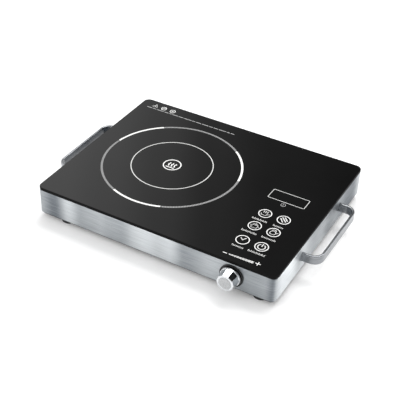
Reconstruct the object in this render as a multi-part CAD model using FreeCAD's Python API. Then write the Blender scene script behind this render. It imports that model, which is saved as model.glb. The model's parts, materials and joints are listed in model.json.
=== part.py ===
import FreeCAD, Part

import math
import os

# Portable induction cooktop: a black glass-ceramic plate on a brushed steel
# band, a plastic base pan on four rubber feet, a flat strap handle at each
# side and a power knob on the front wall.  Millimetres, +Z up, +Y to the rear,
# +X to the right of a person who stands in front of the knob.  Everything is
# modelled about the plate's centre; save() then moves it so that the origin is
# the bottom centre of the bounding box.

Vector = FreeCAD.Vector
X_AXIS = Vector(1, 0, 0)
Y_AXIS = Vector(0, 1, 0)
Z_AXIS = Vector(0, 0, 1)

# ---------------------------------------------------------------- glass plate
plate_width = 360.0
plate_depth = 278.0
plate_thickness = 4.0
plate_corner = 9.0
plate_edge_bevel = 0.8

# --------------------------------------------------------------- housing band
housing_inset = 0.3          # band's outer face, in from the plate's edge
housing_corner = 7.5
band_height = 37.5           # base pan's top to the plate's underside
sheet = 0.8
bend_radius = 1.0
top_flange = 7.0
bottom_flange = 10.0
flange_opening_corner = 3.0
seal_thickness = 0.6
seal_width = 5.0
seal_setback = 1.0           # seal's outer edge, in from the band's face
wall_vent_count = 20
wall_vent_pitch = 6.0
wall_vent_width = 2.4
wall_vent_height = 16.0
wall_vent_from_left = 37.0   # first vent's centre, from the plate's left edge

# ------------------------------------------------------------------- base pan
pan_thickness = 2.0
pan_inset = 2.0              # pan's edge, in from the band's face
pan_rim_height = 6.0
pan_rim_wall = 1.6
rim_clearance = 0.5
pan_screw_radius = 1.5
pan_screw_length = 7.0
pan_screw_spacing_x = 105.0
pan_screw_spacing_y = 70.0
exhaust_slot_count = 19
exhaust_slot_pitch = 7.0
exhaust_slot_width = 3.0
exhaust_slot_length = 18.0
intake_slot_pitch = 7.0
intake_slot_width = 3.6
intake_rib = 4.0             # solid rib down the middle of the intake grille
intake_margin = 2.0          # grille's edge, in from the fan's duct

# ----------------------------------------------------------------------- feet
foot_height = 6.5
foot_radius = 11.5
foot_toe_radius = 10.3       # radius at the floor
foot_toe_round = 0.8
foot_from_left = 40.0        # left feet's centres, from the plate's left edge
foot_from_right = 25.0       # right feet's centres, from its right edge
foot_from_front = 15.0       # and all four from its front or rear edge
foot_recess_radius = 4.2
foot_recess_depth = 4.0
foot_screw_radius = 1.6
foot_screw_length = 12.0
foot_boss_height = 8.0
foot_boss_radius = 4.0

# -------------------------------------------------------------------- handles
handle_reach = 25.5          # strap's outer face, out from the band
handle_span = 126.0          # outside to outside of the two legs
handle_drop = 14.0           # strap's top edge, below the plate's top
strap_thickness = 3.5
strap_height = 13.5
strap_bend_radius = 15.0     # outside of the bend
strap_edge_round = 1.2
strap_tail = 12.0            # leg's length inside the wall
slot_clearance = 0.2
bracket_sheet = 1.2
bracket_height = 17.0
bracket_margin = 8.0         # back plate beyond the legs, along Y
handle_screw_radius = 1.5
handle_screw_overhang = 1.0  # screw's tip beyond the leg

# --------------------------------------------------- knob and rotary encoder
knob_from_right = 60.5       # axis, from the plate's right edge
knob_drop = 22.5             # axis, below the plate's top
bezel_radius = 16.6
bezel_thickness = 2.0
bezel_lip = 1.0              # rim left standing round the bezel's dish
bezel_dish_depth = 0.8
knob_gap = 0.6               # knob's back to the bezel
skirt_radius = 14.0
skirt_length = 3.0
skirt_round = 0.8
grip_length = 12.4
grip_radius_back = 13.4
grip_radius_front = 11.8
grip_flats = 10
grip_flat_depth = 0.4
knob_face_bevel = 1.0
cap_radius = 8.6
cap_thickness = 0.8
cap_stand_out = 0.2
encoder_width = 14.0
encoder_depth = 7.0
encoder_pin_pitch = 2.5
encoder_pin_width = 0.8
encoder_pin_from_back = 1.2
encoder_pin_length = 3.5
bush_radius = 4.5
bush_stand_out = 6.5         # bush beyond the wall's inner face
bush_clearance = 0.2         # bush in the wall and in the bezel
shaft_radius = 3.0
shaft_running_clearance = 0.05
shaft_stand_out = 15.0       # shaft beyond the wall's inner face
shaft_flat_length = 6.5
shaft_flat_depth = 1.2
shaft_socket_depth = 4.0     # shaft's end inside the encoder body
nut_across_flats = 12.0
nut_thickness = 2.0
washer_radius = 6.4
washer_thickness = 0.5
nut_pocket_clearance = 0.9

# ----------------------------------------------------------- cord entry gland
gland_from_right = 118.0     # axis, from the plate's right edge
gland_bore_radius = 3.6
gland_barrel_radius = 6.5
gland_flange_radius = 9.5
gland_flange_thickness = 3.0
gland_nose = 6.0             # nose beyond the flange
gland_nose_radius = 6.2
gland_barrel_inside = 13.0   # barrel beyond the wall's outer face, inwards
gland_nut_radius = 9.0
gland_nut_thickness = 4.0
gland_clearance = 0.2

# --------------------------------------------------------- coil under the hob
coil_from_left = 128.5       # centre, from the plate's left edge
coil_y = 1.5                 # centre, behind the plate's middle
coil_radius = 88.0
coil_hole_radius = 22.0
coil_height = 4.5
coil_groove_pitch = 6.0
coil_groove_depth = 0.8
mica_radius = 95.0
mica_thickness = 0.8
coil_air_gap = 0.2           # coil's top to the mica
former_rim_wall = 5.0
former_hub_wall = 6.0
former_floor = 3.0
former_arm_count = 8
former_arm_width = 14.0
former_lug_count = 3
former_lug_reach = 5.0       # lug's screw axis, out from the rim
former_lug_radius = 5.0
former_bridge = 2.0          # floor of the hub, which carries the sensor
former_hub_depth = 5.5       # hub, below the arms
ferrite_length = 52.0
ferrite_width = 10.0
ferrite_height = 5.0
coil_boss_radius = 5.5
coil_boss_height = 14.0
coil_screw_radius = 2.0
coil_screw_bite = 9.0        # screw's length inside the boss
spring_wire_radius = 0.4
spring_clearance = 0.5       # spring's inside to the screw
coil_spring_turns = 5
sensor_stem_radius = 3.0
sensor_head_radius = 6.5
sensor_head_height = 2.4
sensor_stem_below = 2.0      # stem below the bridge
sensor_bead_radius = 2.5
sensor_bead_height = 0.8
sensor_bore_clearance = 0.2
sensor_spring_turns = 4

# -------------------------------------------------------------- control panel
panel_from_right = 56.0      # panel's middle, from the plate's right edge
panel_front = 27.0           # board carrier's front, from the plate's front edge
panel_width = 66.0
panel_depth = 152.0
carrier_wall = 2.0
carrier_post = 8.0
board_thickness = 1.6
board_clearance = 0.3
touch_spring_height = 8.0
touch_spring_radius = 4.0
touch_spring_turns = 5
key_spacing = 27.0
key_rows_from_front = (44.5, 78.0, 108.5)
key_light_offset = 9.0
key_light_width = 3.0
key_light_depth = 1.6
key_light_height = 1.0
display_from_front = 154.4
display_width = 50.0
display_depth = 19.0
display_glass_gap = 0.4
display_digits = 4
display_digit_gap = 4.0
display_digit_margin = 2.5
display_digit_recess = 0.6
panel_screw_radius = 1.25
panel_screw_length = 6.5
controller_size = 10.0
controller_height = 1.2

# ---------------------------------------------------------------- power board
power_from_right = 73.0      # board's middle, from the plate's right edge
power_front = 24.0           # board's front edge, from the plate's front edge
power_width = 102.0
power_depth = 140.0
power_standoff = 6.0
standoff_radius = 4.0
power_screw_inset = 5.0
power_screw_radius = 1.5
power_screw_length = 6.0
sink_width = 52.0
sink_depth = 62.0
sink_base = 3.0
sink_height = 11.4
sink_fin_count = 9
sink_from_side = 10.0        # from the power board's left edge
sink_from_rear = 4.0         # and from its rear edge
sink_hole_floor = 0.5
sink_screw_tip_gap = 0.5
sink_fin = 1.2
transistor_width = 16.0
transistor_depth = 21.0
transistor_height = 5.0
rectifier_width = 22.0
rectifier_depth = 18.0
sink_screw_radius = 1.5
screw_hole_clearance = 0.3
# Parts on the board stand at places measured from the board's middle.
film_capacitor_sizes = (     # place x, place y, width, depth, height
    (-30.0, -24.0, 32.0, 18.0, 15.0),
    (8.0, -24.0, 32.0, 16.0, 14.0),
    (-28.0, -50.0, 26.0, 12.0, 14.0),
)
film_capacitor_round = 1.0
can_places = ((30.0, 8.0), (42.0, 8.0))
can_radius = 5.0
can_height = 13.0
can_crimp = 0.8
choke_place = (6.0, -46.0)
choke_ring_radius = 8.5
choke_winding_radius = 4.5
transformer_place = (34.0, 34.0)
transformer_bobbin = (12.0, 20.0, 14.0)    # width, depth, height
transformer_core = (20.0, 12.0, 10.0)
transformer_core_lift = 2.0
fuse_place = (30.0, -62.0)
fuse_radius = 2.6
fuse_length = 20.0
fuse_axis_height = 6.0
fuse_clip_spacing = 14.0
fuse_clip_width = 4.0
fuse_clip_wall = 1.0
fuse_mouth = 1.6             # clip's opening, as a multiple of the fuse's radius
buzzer_place = (40.0, -18.0)
buzzer_radius = 6.0
buzzer_height = 8.5
buzzer_hole_radius = 1.0
buzzer_hole_depth = 3.5
ribbon_place = (41.0, -37.0)

# ---------------------------------------------------------------- cooling fan
fan_from_right = 62.0        # axis, from the plate's right edge
fan_from_rear = 68.0         # axis, from the plate's rear edge
fan_size = 80.0
fan_depth = 15.0
fan_stand = 4.0              # pan's floor to the fan's underside
fan_corner = 5.0
fan_duct_radius = 37.5
fan_tip_gap = 0.8
fan_hole_spacing = 71.5
fan_boss_radius = 4.0
fan_screw_radius = 2.0
fan_screw_tip_gap = 0.5      # screw's tip to the pan's floor
fan_strut_width = 5.0
fan_strut_height = 2.0
fan_hub_radius = 14.0
fan_cup_wall = 1.6
fan_blade_count = 7
fan_blade_pitch = 38.0       # degrees from the plane of the fan
fan_blade_thickness = 1.4
fan_air_gap = 1.0            # rotor to the struts and to the open face
fan_shaft_radius = 1.5
fan_bearing_wall = 1.6
fan_stator_gap = 0.8         # stator to the rotor's cup
fan_pole_count = 4
fan_pole_slot = 1.6
fan_pole_core = 3.0          # unslotted winding round the bearing

# ------------------------------------------------- terminal block and earthing
terminal_from_right = 120.0
terminal_from_rear = 33.0
terminal_width = 24.0
terminal_depth = 16.0
terminal_height = 14.0
terminal_clamp_radius = 2.2
terminal_clamp_depth = 5.0
terminal_wire_radius = 1.6
terminal_wire_height = 5.0   # wire hole's axis, above the block's foot
terminal_stand = 3.0
earth_from_right = 142.0
earth_stud_radius = 2.0
earth_stud_length = 9.0
earth_nut_across_flats = 7.0
earth_nut_thickness = 3.0
earth_tag_gap = 1.5          # room for a ring tag between the nut and the wall
lead_radius = 1.4
lead_bend = 7.0
coil_lead_inset = 10.0       # coil leads, in from the winding's rim
coil_lead_aside = 4.0
coil_lead_pitch = 8.0
coil_lead_drop = 6.0         # below the ferrite bars
coil_lead_from_side = 6.0    # where they meet the power board
coil_lead_jog = 12.0
lead_bite = 0.1
mains_lead_from_rear = 16.0
mains_lead_from_side = 3.5
mains_lead_pitch = 4.0
mains_lead_far = 22.0
mains_lead_near = 12.0
mains_lead_rise = 9.0
ribbon_width = 14.0
ribbon_thickness = 0.9

# --------------------------------------------------------------------- levels
pan_bottom = foot_height
pan_top = pan_bottom + pan_thickness
plate_bottom = pan_top + band_height
plate_top = plate_bottom + plate_thickness
band_top = plate_bottom - seal_thickness
knob_z = plate_top - knob_drop
gland_z = pan_top + band_height / 2
strap_top = plate_top - handle_drop
strap_bottom = strap_top - strap_height
strap_middle = strap_top - strap_height / 2
coil_top = plate_bottom - mica_thickness - coil_air_gap
coil_bottom = coil_top - coil_height
former_bottom = coil_bottom - former_floor
hub_bottom = former_bottom - former_hub_depth
control_board_top = plate_bottom - touch_spring_height
control_board_bottom = control_board_top - board_thickness
power_board_bottom = pan_top + power_standoff
power_board_top = power_board_bottom + board_thickness
sink_bottom = power_board_top + transistor_height
fan_bottom = pan_top + fan_stand
fan_top = fan_bottom + fan_depth

# ---------------------------------------------------------------------- plans
housing_half_x = plate_width / 2 - housing_inset
housing_half_y = plate_depth / 2 - housing_inset
wall_half_x = housing_half_x - sheet
wall_half_y = housing_half_y - sheet
left_edge = -plate_width / 2
right_edge = plate_width / 2
front_edge = -plate_depth / 2
rear_edge = plate_depth / 2
foot_left_x = left_edge + foot_from_left
foot_right_x = right_edge - foot_from_right
foot_y = plate_depth / 2 - foot_from_front
knob_x = right_edge - knob_from_right
gland_x = right_edge - gland_from_right
coil_x = left_edge + coil_from_left
panel_x = right_edge - panel_from_right
panel_low_y = front_edge + panel_front
panel_y = panel_low_y + panel_depth / 2
power_x = right_edge - power_from_right
power_y = front_edge + power_front + power_depth / 2
fan_x = right_edge - fan_from_right
fan_y = rear_edge - fan_from_rear
front_reach = housing_half_y + bezel_thickness + knob_gap + skirt_length + grip_length + cap_stand_out
rear_reach = housing_half_y + gland_flange_thickness + gland_nose
origin_shift = Vector(0, (front_reach - rear_reach) / 2, 0)

# Pan-head screw proportions, as multiples of the shank's radius.
screw_head_width = 1.9
screw_head_height = 1.3
screw_recess_depth = 0.7
screw_recess_width = 0.5
screw_recess_reach = 1.2


def save(name, shape):
    """Write one named piece, moved into the finished part's frame."""
    moved = shape.copy()
    moved.translate(origin_shift)
    if not moved.isValid():
        print("invalid shape:", name)
    moved.exportStep(os.path.join("parts", name + ".step"))


def box(x_low, x_high, y_low, y_high, z_low, z_high):
    """Box between two corners."""
    return Part.makeBox(x_high - x_low, y_high - y_low, z_high - z_low, Vector(x_low, y_low, z_low))


def centred_box(x, y, width, depth, z_low, z_high):
    """Box centred on (x, y) in plan."""
    return box(x - width / 2, x + width / 2, y - depth / 2, y + depth / 2, z_low, z_high)


def rod(radius, start, end):
    """Cylinder from one point to another."""
    along = end - start
    return Part.makeCylinder(radius, along.Length, start, along)


def post(radius, x, y, z_low, z_high):
    """Upright cylinder."""
    return rod(radius, Vector(x, y, z_low), Vector(x, y, z_high))


def tube(outer, inner, x, y, z_low, z_high):
    """Upright tube."""
    return post(outer, x, y, z_low, z_high).cut(post(inner, x, y, z_low, z_high))


def level_edges(shape, z):
    """Edges that lie flat at one height."""
    return [edge for edge in shape.Edges
            if abs(edge.BoundBox.ZMin - z) < 1e-4 and abs(edge.BoundBox.ZMax - z) < 1e-4]


def rounded_block(half_x, half_y, corner, z_low, z_high, x=0.0, y=0.0):
    """Block with rounded upright corners, centred on (x, y)."""
    block = box(x - half_x, x + half_x, y - half_y, y + half_y, z_low, z_high)
    upright = [edge for edge in block.Edges if edge.BoundBox.ZLength > (z_high - z_low) / 2]
    return block.makeFillet(corner, upright)


def slot_cutter(x, y, length, width, z_low, z_high):
    """Round-ended slot along X."""
    straight = length - width
    cutter = centred_box(x, y, straight, width, z_low, z_high)
    ends = [post(width / 2, x + side * straight / 2, y, z_low, z_high) for side in (-1, 1)]
    return cutter.fuse(ends).removeSplitter()


def screw(shank_radius, length, seat, along):
    """Pan-head screw with a cross recess; its head seats at a point and its shank runs along a direction."""
    head_radius = screw_head_width * shank_radius
    head_height = screw_head_height * shank_radius
    head = Part.makeCylinder(head_radius, head_height, Vector(0, 0, -head_height))
    head = head.makeFillet(head_height / 2, level_edges(head, -head_height))
    body = head.fuse(Part.makeCylinder(shank_radius, length)).removeSplitter()
    arm = screw_recess_reach * shank_radius
    half_slot = screw_recess_width * shank_radius / 2
    floor = -head_height + screw_recess_depth * shank_radius
    body = body.cut(box(-arm, arm, -half_slot, half_slot, -head_height, floor))
    body = body.cut(box(-half_slot, half_slot, -arm, arm, -head_height, floor))
    body.Placement = FreeCAD.Placement(seat, FreeCAD.Rotation(Z_AXIS, along))
    return body


def hexagon(across_flats, start, end):
    """Six-sided bar from one point to another."""
    along = end - start
    corner_radius = across_flats / math.sqrt(3)
    corners = [Vector(corner_radius * math.cos(math.radians(60 * i)),
                      corner_radius * math.sin(math.radians(60 * i)), 0) for i in range(7)]
    bar = Part.Face(Part.makePolygon(corners)).extrude(Vector(0, 0, along.Length))
    bar.Placement = FreeCAD.Placement(start, FreeCAD.Rotation(Z_AXIS, along))
    return bar


def coil_spring(mean_radius, wire_radius, turns, x, y, z_low, z_high):
    """Upright helical spring whose wire just fits between two heights."""
    rise = z_high - z_low - 2 * wire_radius
    helix = Part.makeHelix(rise / turns, rise, mean_radius)
    section = Part.Wire(Part.makeCircle(wire_radius, Vector(mean_radius, 0, 0), Y_AXIS))
    spring = Part.Wire(helix.Edges).makePipeShell([section], True, True)
    spring.translate(Vector(x, y, z_low + wire_radius))
    return spring


def bent_path(points, bend):
    """Straight runs through a list of points, joined by tangent arcs."""
    edges = []
    start = points[0]
    for before, corner, after in zip(points, points[1:], points[2:]):
        inward = (before - corner).normalize()
        outward = (after - corner).normalize()
        half_turn = inward.getAngle(outward) / 2
        trim = bend / math.tan(half_turn)
        arc_start = corner + inward * trim
        arc_end = corner + outward * trim
        middle_way = (inward + outward).normalize()
        arc_middle = corner + middle_way * (bend / math.sin(half_turn) - bend)
        edges.append(Part.LineSegment(start, arc_start).toShape())
        edges.append(Part.Arc(arc_start, arc_middle, arc_end).toShape())
        start = arc_end
    edges.append(Part.LineSegment(start, points[-1]).toShape())
    return Part.Wire(edges)


def lead(points):
    """Insulated wire along a bent path."""
    path = bent_path(points, lead_bend)
    section = Part.Wire(Part.makeCircle(lead_radius, points[0], points[1] - points[0]))
    return path.makePipeShell([section], True, False)


# ------------------------------------------------------------------ enclosure

def glass_top():
    """Ceramic plate with a bevelled top edge."""
    plate = rounded_block(plate_width / 2, plate_depth / 2, plate_corner, plate_bottom, plate_top)
    return plate.makeChamfer(plate_edge_bevel, level_edges(plate, plate_top))


def glass_seal():
    """Silicone bead between the band's flange and the plate."""
    half_x = housing_half_x - seal_setback
    half_y = housing_half_y - seal_setback
    corner = housing_corner - seal_setback
    outer = rounded_block(half_x, half_y, corner, band_top, plate_bottom)
    inner = rounded_block(half_x - seal_width, half_y - seal_width, flange_opening_corner,
                          band_top, plate_bottom)
    return outer.cut(inner)


def pan_screw_places():
    """Points on the middle line of the band's lower flange."""
    line_x = housing_half_x - bottom_flange / 2
    line_y = housing_half_y - bottom_flange / 2
    places = [(step * pan_screw_spacing_x, side * line_y) for side in (-1, 1) for step in (-1, 0, 1)]
    places += [(side * line_x, step * pan_screw_spacing_y) for side in (-1, 1) for step in (-1, 1)]
    return places


def strap_slot_cutters(clearance, x_low, x_high):
    """Cutters for the four handle legs, between two distances from the middle."""
    leg_y = handle_span / 2 - strap_thickness / 2
    half_slot = strap_thickness / 2 + clearance
    cutters = []
    for side_x in (-1, 1):
        x_ends = sorted((side_x * x_low, side_x * x_high))
        for side_y in (-1, 1):
            middle = side_y * leg_y
            cutters.append(box(x_ends[0], x_ends[1], middle - half_slot, middle + half_slot,
                               strap_bottom - clearance, strap_top + clearance))
    return cutters


def housing_band():
    """Steel wall with an inward flange at the top and the bottom."""
    skin = rounded_block(housing_half_x, housing_half_y, housing_corner, pan_top, band_top)
    skin = skin.makeFillet(bend_radius, level_edges(skin, pan_top) + level_edges(skin, band_top))
    hollow = rounded_block(wall_half_x, wall_half_y, housing_corner - sheet,
                           pan_top + sheet, band_top - sheet)
    middle = (pan_top + band_top) / 2
    top_hole = rounded_block(housing_half_x - top_flange, housing_half_y - top_flange,
                             flange_opening_corner, middle, band_top + sheet)
    bottom_hole = rounded_block(housing_half_x - bottom_flange, housing_half_y - bottom_flange,
                                flange_opening_corner, pan_top - sheet, middle)
    cutters = [hollow, top_hole, bottom_hole]
    cutters.append(rod(bush_radius + bush_clearance, Vector(knob_x, -housing_half_y - sheet, knob_z),
                       Vector(knob_x, -housing_half_y + 2 * sheet, knob_z)))
    cutters.append(rod(gland_barrel_radius + gland_clearance,
                       Vector(gland_x, housing_half_y - 2 * sheet, gland_z),
                       Vector(gland_x, housing_half_y + sheet, gland_z)))
    cutters += strap_slot_cutters(slot_clearance, wall_half_x - sheet, housing_half_x + sheet)
    for x, y in pan_screw_places():
        cutters.append(post(pan_screw_radius, x, y, pan_top - sheet, pan_top + 2 * sheet))
    for i in range(wall_vent_count):
        vent_x = left_edge + wall_vent_from_left + i * wall_vent_pitch
        cutters.append(centred_box(vent_x, housing_half_y, wall_vent_width, 4 * sheet,
                                   gland_z - wall_vent_height / 2, gland_z + wall_vent_height / 2))
    return skin.cut(cutters)


def former_lug_places():
    """Screw axes of the coil former's lugs."""
    reach = coil_radius + former_rim_wall + former_lug_reach
    places = []
    for i in range(former_lug_count):
        turn = math.radians(90 + i * 360 / former_lug_count)
        places.append((coil_x + reach * math.cos(turn), coil_y + reach * math.sin(turn)))
    return places


def corner_places(x, y, spacing_x, spacing_y):
    """Four corners of a rectangle centred on (x, y)."""
    return [(x + i * spacing_x / 2, y + j * spacing_y / 2) for i in (-1, 1) for j in (-1, 1)]


def power_screw_places():
    """Screws near the power board's corners."""
    inset = 2 * power_screw_inset
    return corner_places(power_x, power_y, power_width - inset, power_depth - inset)


def fan_screw_places():
    """Screws through the fan's corners."""
    return corner_places(fan_x, fan_y, fan_hole_spacing, fan_hole_spacing)


def foot_places():
    """Centres of the four feet."""
    return [(x, side * foot_y) for x in (foot_left_x, foot_right_x) for side in (-1, 1)]


def terminal_place():
    """Centre of the terminal block."""
    return right_edge - terminal_from_right, rear_edge - terminal_from_rear


def intake_cutters():
    """Grille of round-ended slots under the fan, split by a middle rib."""
    grille_radius = fan_duct_radius - intake_margin
    rows = int(grille_radius // intake_slot_pitch)
    cutters = []
    for row in range(-rows, rows + 1):
        offset = row * intake_slot_pitch
        half_chord = math.sqrt(grille_radius ** 2 - offset ** 2)
        length = half_chord - intake_rib / 2
        if length < 3 * intake_slot_width:
            continue
        for side in (-1, 1):
            middle = fan_x + side * (intake_rib / 2 + length / 2)
            cutters.append(slot_cutter(middle, fan_y + offset, length, intake_slot_width,
                                       pan_bottom - 1, pan_top + 1))
    return cutters


def exhaust_cutters():
    """Row of slots near the pan's left side."""
    slot_x = -(housing_half_x - bottom_flange - rim_clearance - pan_rim_wall
               - exhaust_slot_length / 2 - pan_rim_wall)
    first = -(exhaust_slot_count - 1) / 2 * exhaust_slot_pitch
    return [slot_cutter(slot_x, first + i * exhaust_slot_pitch, exhaust_slot_length, exhaust_slot_width,
                        pan_bottom - 1, pan_top + 1) for i in range(exhaust_slot_count)]


def base_pan():
    """Plastic floor with a locating rim, bosses and air slots."""
    pan = rounded_block(housing_half_x - pan_inset, housing_half_y - pan_inset,
                        housing_corner - pan_inset, pan_bottom, pan_top)
    rim_x = housing_half_x - bottom_flange - rim_clearance
    rim_y = housing_half_y - bottom_flange - rim_clearance
    rim_top = pan_top + pan_rim_height
    rim = rounded_block(rim_x, rim_y, flange_opening_corner, pan_top, rim_top)
    rim = rim.cut(rounded_block(rim_x - pan_rim_wall, rim_y - pan_rim_wall,
                                flange_opening_corner - pan_rim_wall, pan_top, rim_top))
    solids = [rim]
    holes = []
    for x, y in foot_places():
        solids.append(post(foot_boss_radius, x, y, pan_top, pan_top + foot_boss_height))
        holes.append(post(foot_screw_radius, x, y, pan_bottom, pan_top + foot_boss_height))
    for x, y in former_lug_places():
        boss_top = pan_top + coil_boss_height
        solids.append(post(coil_boss_radius, x, y, pan_top, boss_top))
        holes.append(post(coil_screw_radius, x, y, boss_top - coil_screw_bite, boss_top))
    for x, y in power_screw_places():
        solids.append(post(standoff_radius, x, y, pan_top, power_board_bottom))
        holes.append(post(power_screw_radius, x, y, pan_top, power_board_bottom))
    for x, y in fan_screw_places():
        solids.append(post(fan_boss_radius, x, y, pan_top, fan_bottom))
        holes.append(post(fan_screw_radius, x, y, pan_top, fan_bottom))
    terminal_x, terminal_y = terminal_place()
    solids.append(centred_box(terminal_x, terminal_y, terminal_width, terminal_depth,
                              pan_top, pan_top + terminal_stand))
    for x, y in pan_screw_places():
        holes.append(post(pan_screw_radius + screw_hole_clearance, x, y, pan_bottom, pan_top))
    pan = pan.fuse(solids).removeSplitter()
    return pan.cut(holes + intake_cutters() + exhaust_cutters())


def pan_screws():
    """Screws that hold the base pan to the band's lower flange."""
    return Part.makeCompound([screw(pan_screw_radius, pan_screw_length, Vector(x, y, pan_bottom), Z_AXIS)
                              for x, y in pan_screw_places()])


def foot(x, y):
    """Rubber foot with a screw recess."""
    body = Part.makeCone(foot_toe_radius, foot_radius, foot_height, Vector(x, y, 0))
    body = body.makeFillet(foot_toe_round, level_edges(body, 0))
    body = body.cut(post(foot_recess_radius, x, y, 0, foot_recess_depth))
    return body.cut(post(foot_screw_radius + screw_hole_clearance, x, y, 0, foot_height))


def foot_screws():
    """Screws up through the feet into the pan's bosses."""
    return Part.makeCompound([screw(foot_screw_radius, foot_screw_length,
                                    Vector(x, y, foot_recess_depth), Z_AXIS) for x, y in foot_places()])


# -------------------------------------------------------------------- handles

def strap_outline(x_end, x_bow, half_span, corner):
    """Outline of a U that opens towards the middle, as a flat face."""
    diagonal = corner * (1 - math.sqrt(0.5))
    lower_end = Vector(x_end, -half_span, strap_bottom)
    lower_bend = Vector(x_bow - corner, -half_span, strap_bottom)
    lower_bow = Vector(x_bow, -half_span + corner, strap_bottom)
    upper_bow = Vector(x_bow, half_span - corner, strap_bottom)
    upper_bend = Vector(x_bow - corner, half_span, strap_bottom)
    upper_end = Vector(x_end, half_span, strap_bottom)
    lower_middle = Vector(x_bow - diagonal, -half_span + diagonal, strap_bottom)
    upper_middle = Vector(x_bow - diagonal, half_span - diagonal, strap_bottom)
    edges = [Part.LineSegment(lower_end, lower_bend).toShape(),
             Part.Arc(lower_bend, lower_middle, lower_bow).toShape(),
             Part.LineSegment(lower_bow, upper_bow).toShape(),
             Part.Arc(upper_bow, upper_middle, upper_bend).toShape(),
             Part.LineSegment(upper_bend, upper_end).toShape(),
             Part.LineSegment(upper_end, lower_end).toShape()]
    return Part.Face(Part.Wire(edges))


def handle():
    """Right-hand handle: a flat strap bent to a U, with drilled tails behind the wall."""
    tail_x = wall_half_x - strap_tail
    bow_x = housing_half_x + handle_reach
    half_span = handle_span / 2
    lift = Vector(0, 0, strap_height)
    outer = strap_outline(tail_x, bow_x, half_span, strap_bend_radius).extrude(lift)
    inner = strap_outline(tail_x - 1, bow_x - strap_thickness, half_span - strap_thickness,
                          strap_bend_radius - strap_thickness).extrude(lift)
    strap = outer.cut(inner)
    long_edges = [edge for z in (strap_bottom, strap_top) for edge in level_edges(strap, z)
                  if edge.BoundBox.XMax > tail_x + 1]
    strap = strap.makeFillet(min(strap_edge_round, 0.4 * strap_thickness), long_edges)
    screw_x = wall_half_x - strap_tail / 2
    hole = rod(handle_screw_radius, Vector(screw_x, -handle_span, strap_middle),
               Vector(screw_x, handle_span, strap_middle))
    return strap.cut(hole)


def handle_bracket():
    """Right-hand bracket: a slotted back plate with an ear beside each leg."""
    plate_inner = wall_half_x - bracket_sheet
    half_plate = handle_span / 2 + bracket_margin
    z_low = strap_middle - bracket_height / 2
    z_high = strap_middle + bracket_height / 2
    bracket = box(plate_inner, wall_half_x, -half_plate, half_plate, z_low, z_high)
    ear_x = wall_half_x - strap_tail
    ears = []
    for side in (-1, 1):
        y_ends = sorted((side * handle_span / 2, side * (handle_span / 2 + bracket_sheet)))
        ears.append(box(ear_x, plate_inner, y_ends[0], y_ends[1], strap_bottom, strap_top))
    bracket = bracket.fuse(ears).removeSplitter()
    # Over the leg itself the slot is cut to size, so that the ear stays whole.
    bracket = bracket.cut(strap_slot_cutters(0, plate_inner - 0.01, wall_half_x + 1))
    screw_x = wall_half_x - strap_tail / 2
    hole_radius = handle_screw_radius + screw_hole_clearance
    return bracket.cut(rod(hole_radius, Vector(screw_x, -half_plate, strap_middle),
                           Vector(screw_x, half_plate, strap_middle)))


def handle_screws():
    """Screws through the bracket's ears into the legs."""
    length = bracket_sheet + strap_thickness + handle_screw_overhang
    seat_y = handle_span / 2 + bracket_sheet
    screw_x = wall_half_x - strap_tail / 2
    return Part.makeCompound([screw(handle_screw_radius, length,
                                    Vector(side_x * screw_x, side_y * seat_y, strap_middle), Y_AXIS * -side_y)
                              for side_x in (-1, 1) for side_y in (-1, 1)])


def mirrored(shape):
    """Left-hand copy of a right-hand piece."""
    return shape.mirror(Vector(0, 0, 0), X_AXIS)


# ----------------------------------------------------------- knob and encoder

def on_knob_axis(out):
    """Point on the knob's axis, a distance out from the band's front face."""
    return Vector(knob_x, -housing_half_y - out, knob_z)


knob_back = bezel_thickness + knob_gap
grip_back = knob_back + skirt_length
knob_front = grip_back + grip_length
shaft_front = shaft_stand_out - sheet
nut_back = bezel_thickness + washer_thickness - bezel_dish_depth
nut_front = nut_back + nut_thickness


def shaft_bar(radius, back, front):
    """Round bar on the knob's axis with a flat along its front stretch."""
    bar = rod(radius, on_knob_axis(back), on_knob_axis(front))
    flat_z = knob_z + shaft_radius - shaft_flat_depth
    flat_end = -housing_half_y - front + shaft_flat_length
    flat = box(knob_x - 2 * radius, knob_x + 2 * radius, -housing_half_y - front - 1, flat_end,
               flat_z, flat_z + radius)
    return bar.cut(flat)


def grip_prism(apothem_back, apothem_front):
    """Tapered many-sided bar on the knob's axis."""
    rings = []
    for out, apothem in ((grip_back, apothem_back), (knob_front, apothem_front)):
        radius = apothem / math.cos(math.pi / grip_flats)
        corners = []
        for i in range(grip_flats + 1):
            turn = 2 * math.pi * (i % grip_flats) / grip_flats
            corners.append(on_knob_axis(out) + Vector(radius * math.cos(turn), 0, radius * math.sin(turn)))
        rings.append(Part.makePolygon(corners))
    return Part.makeLoft(rings, True, True)


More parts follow.
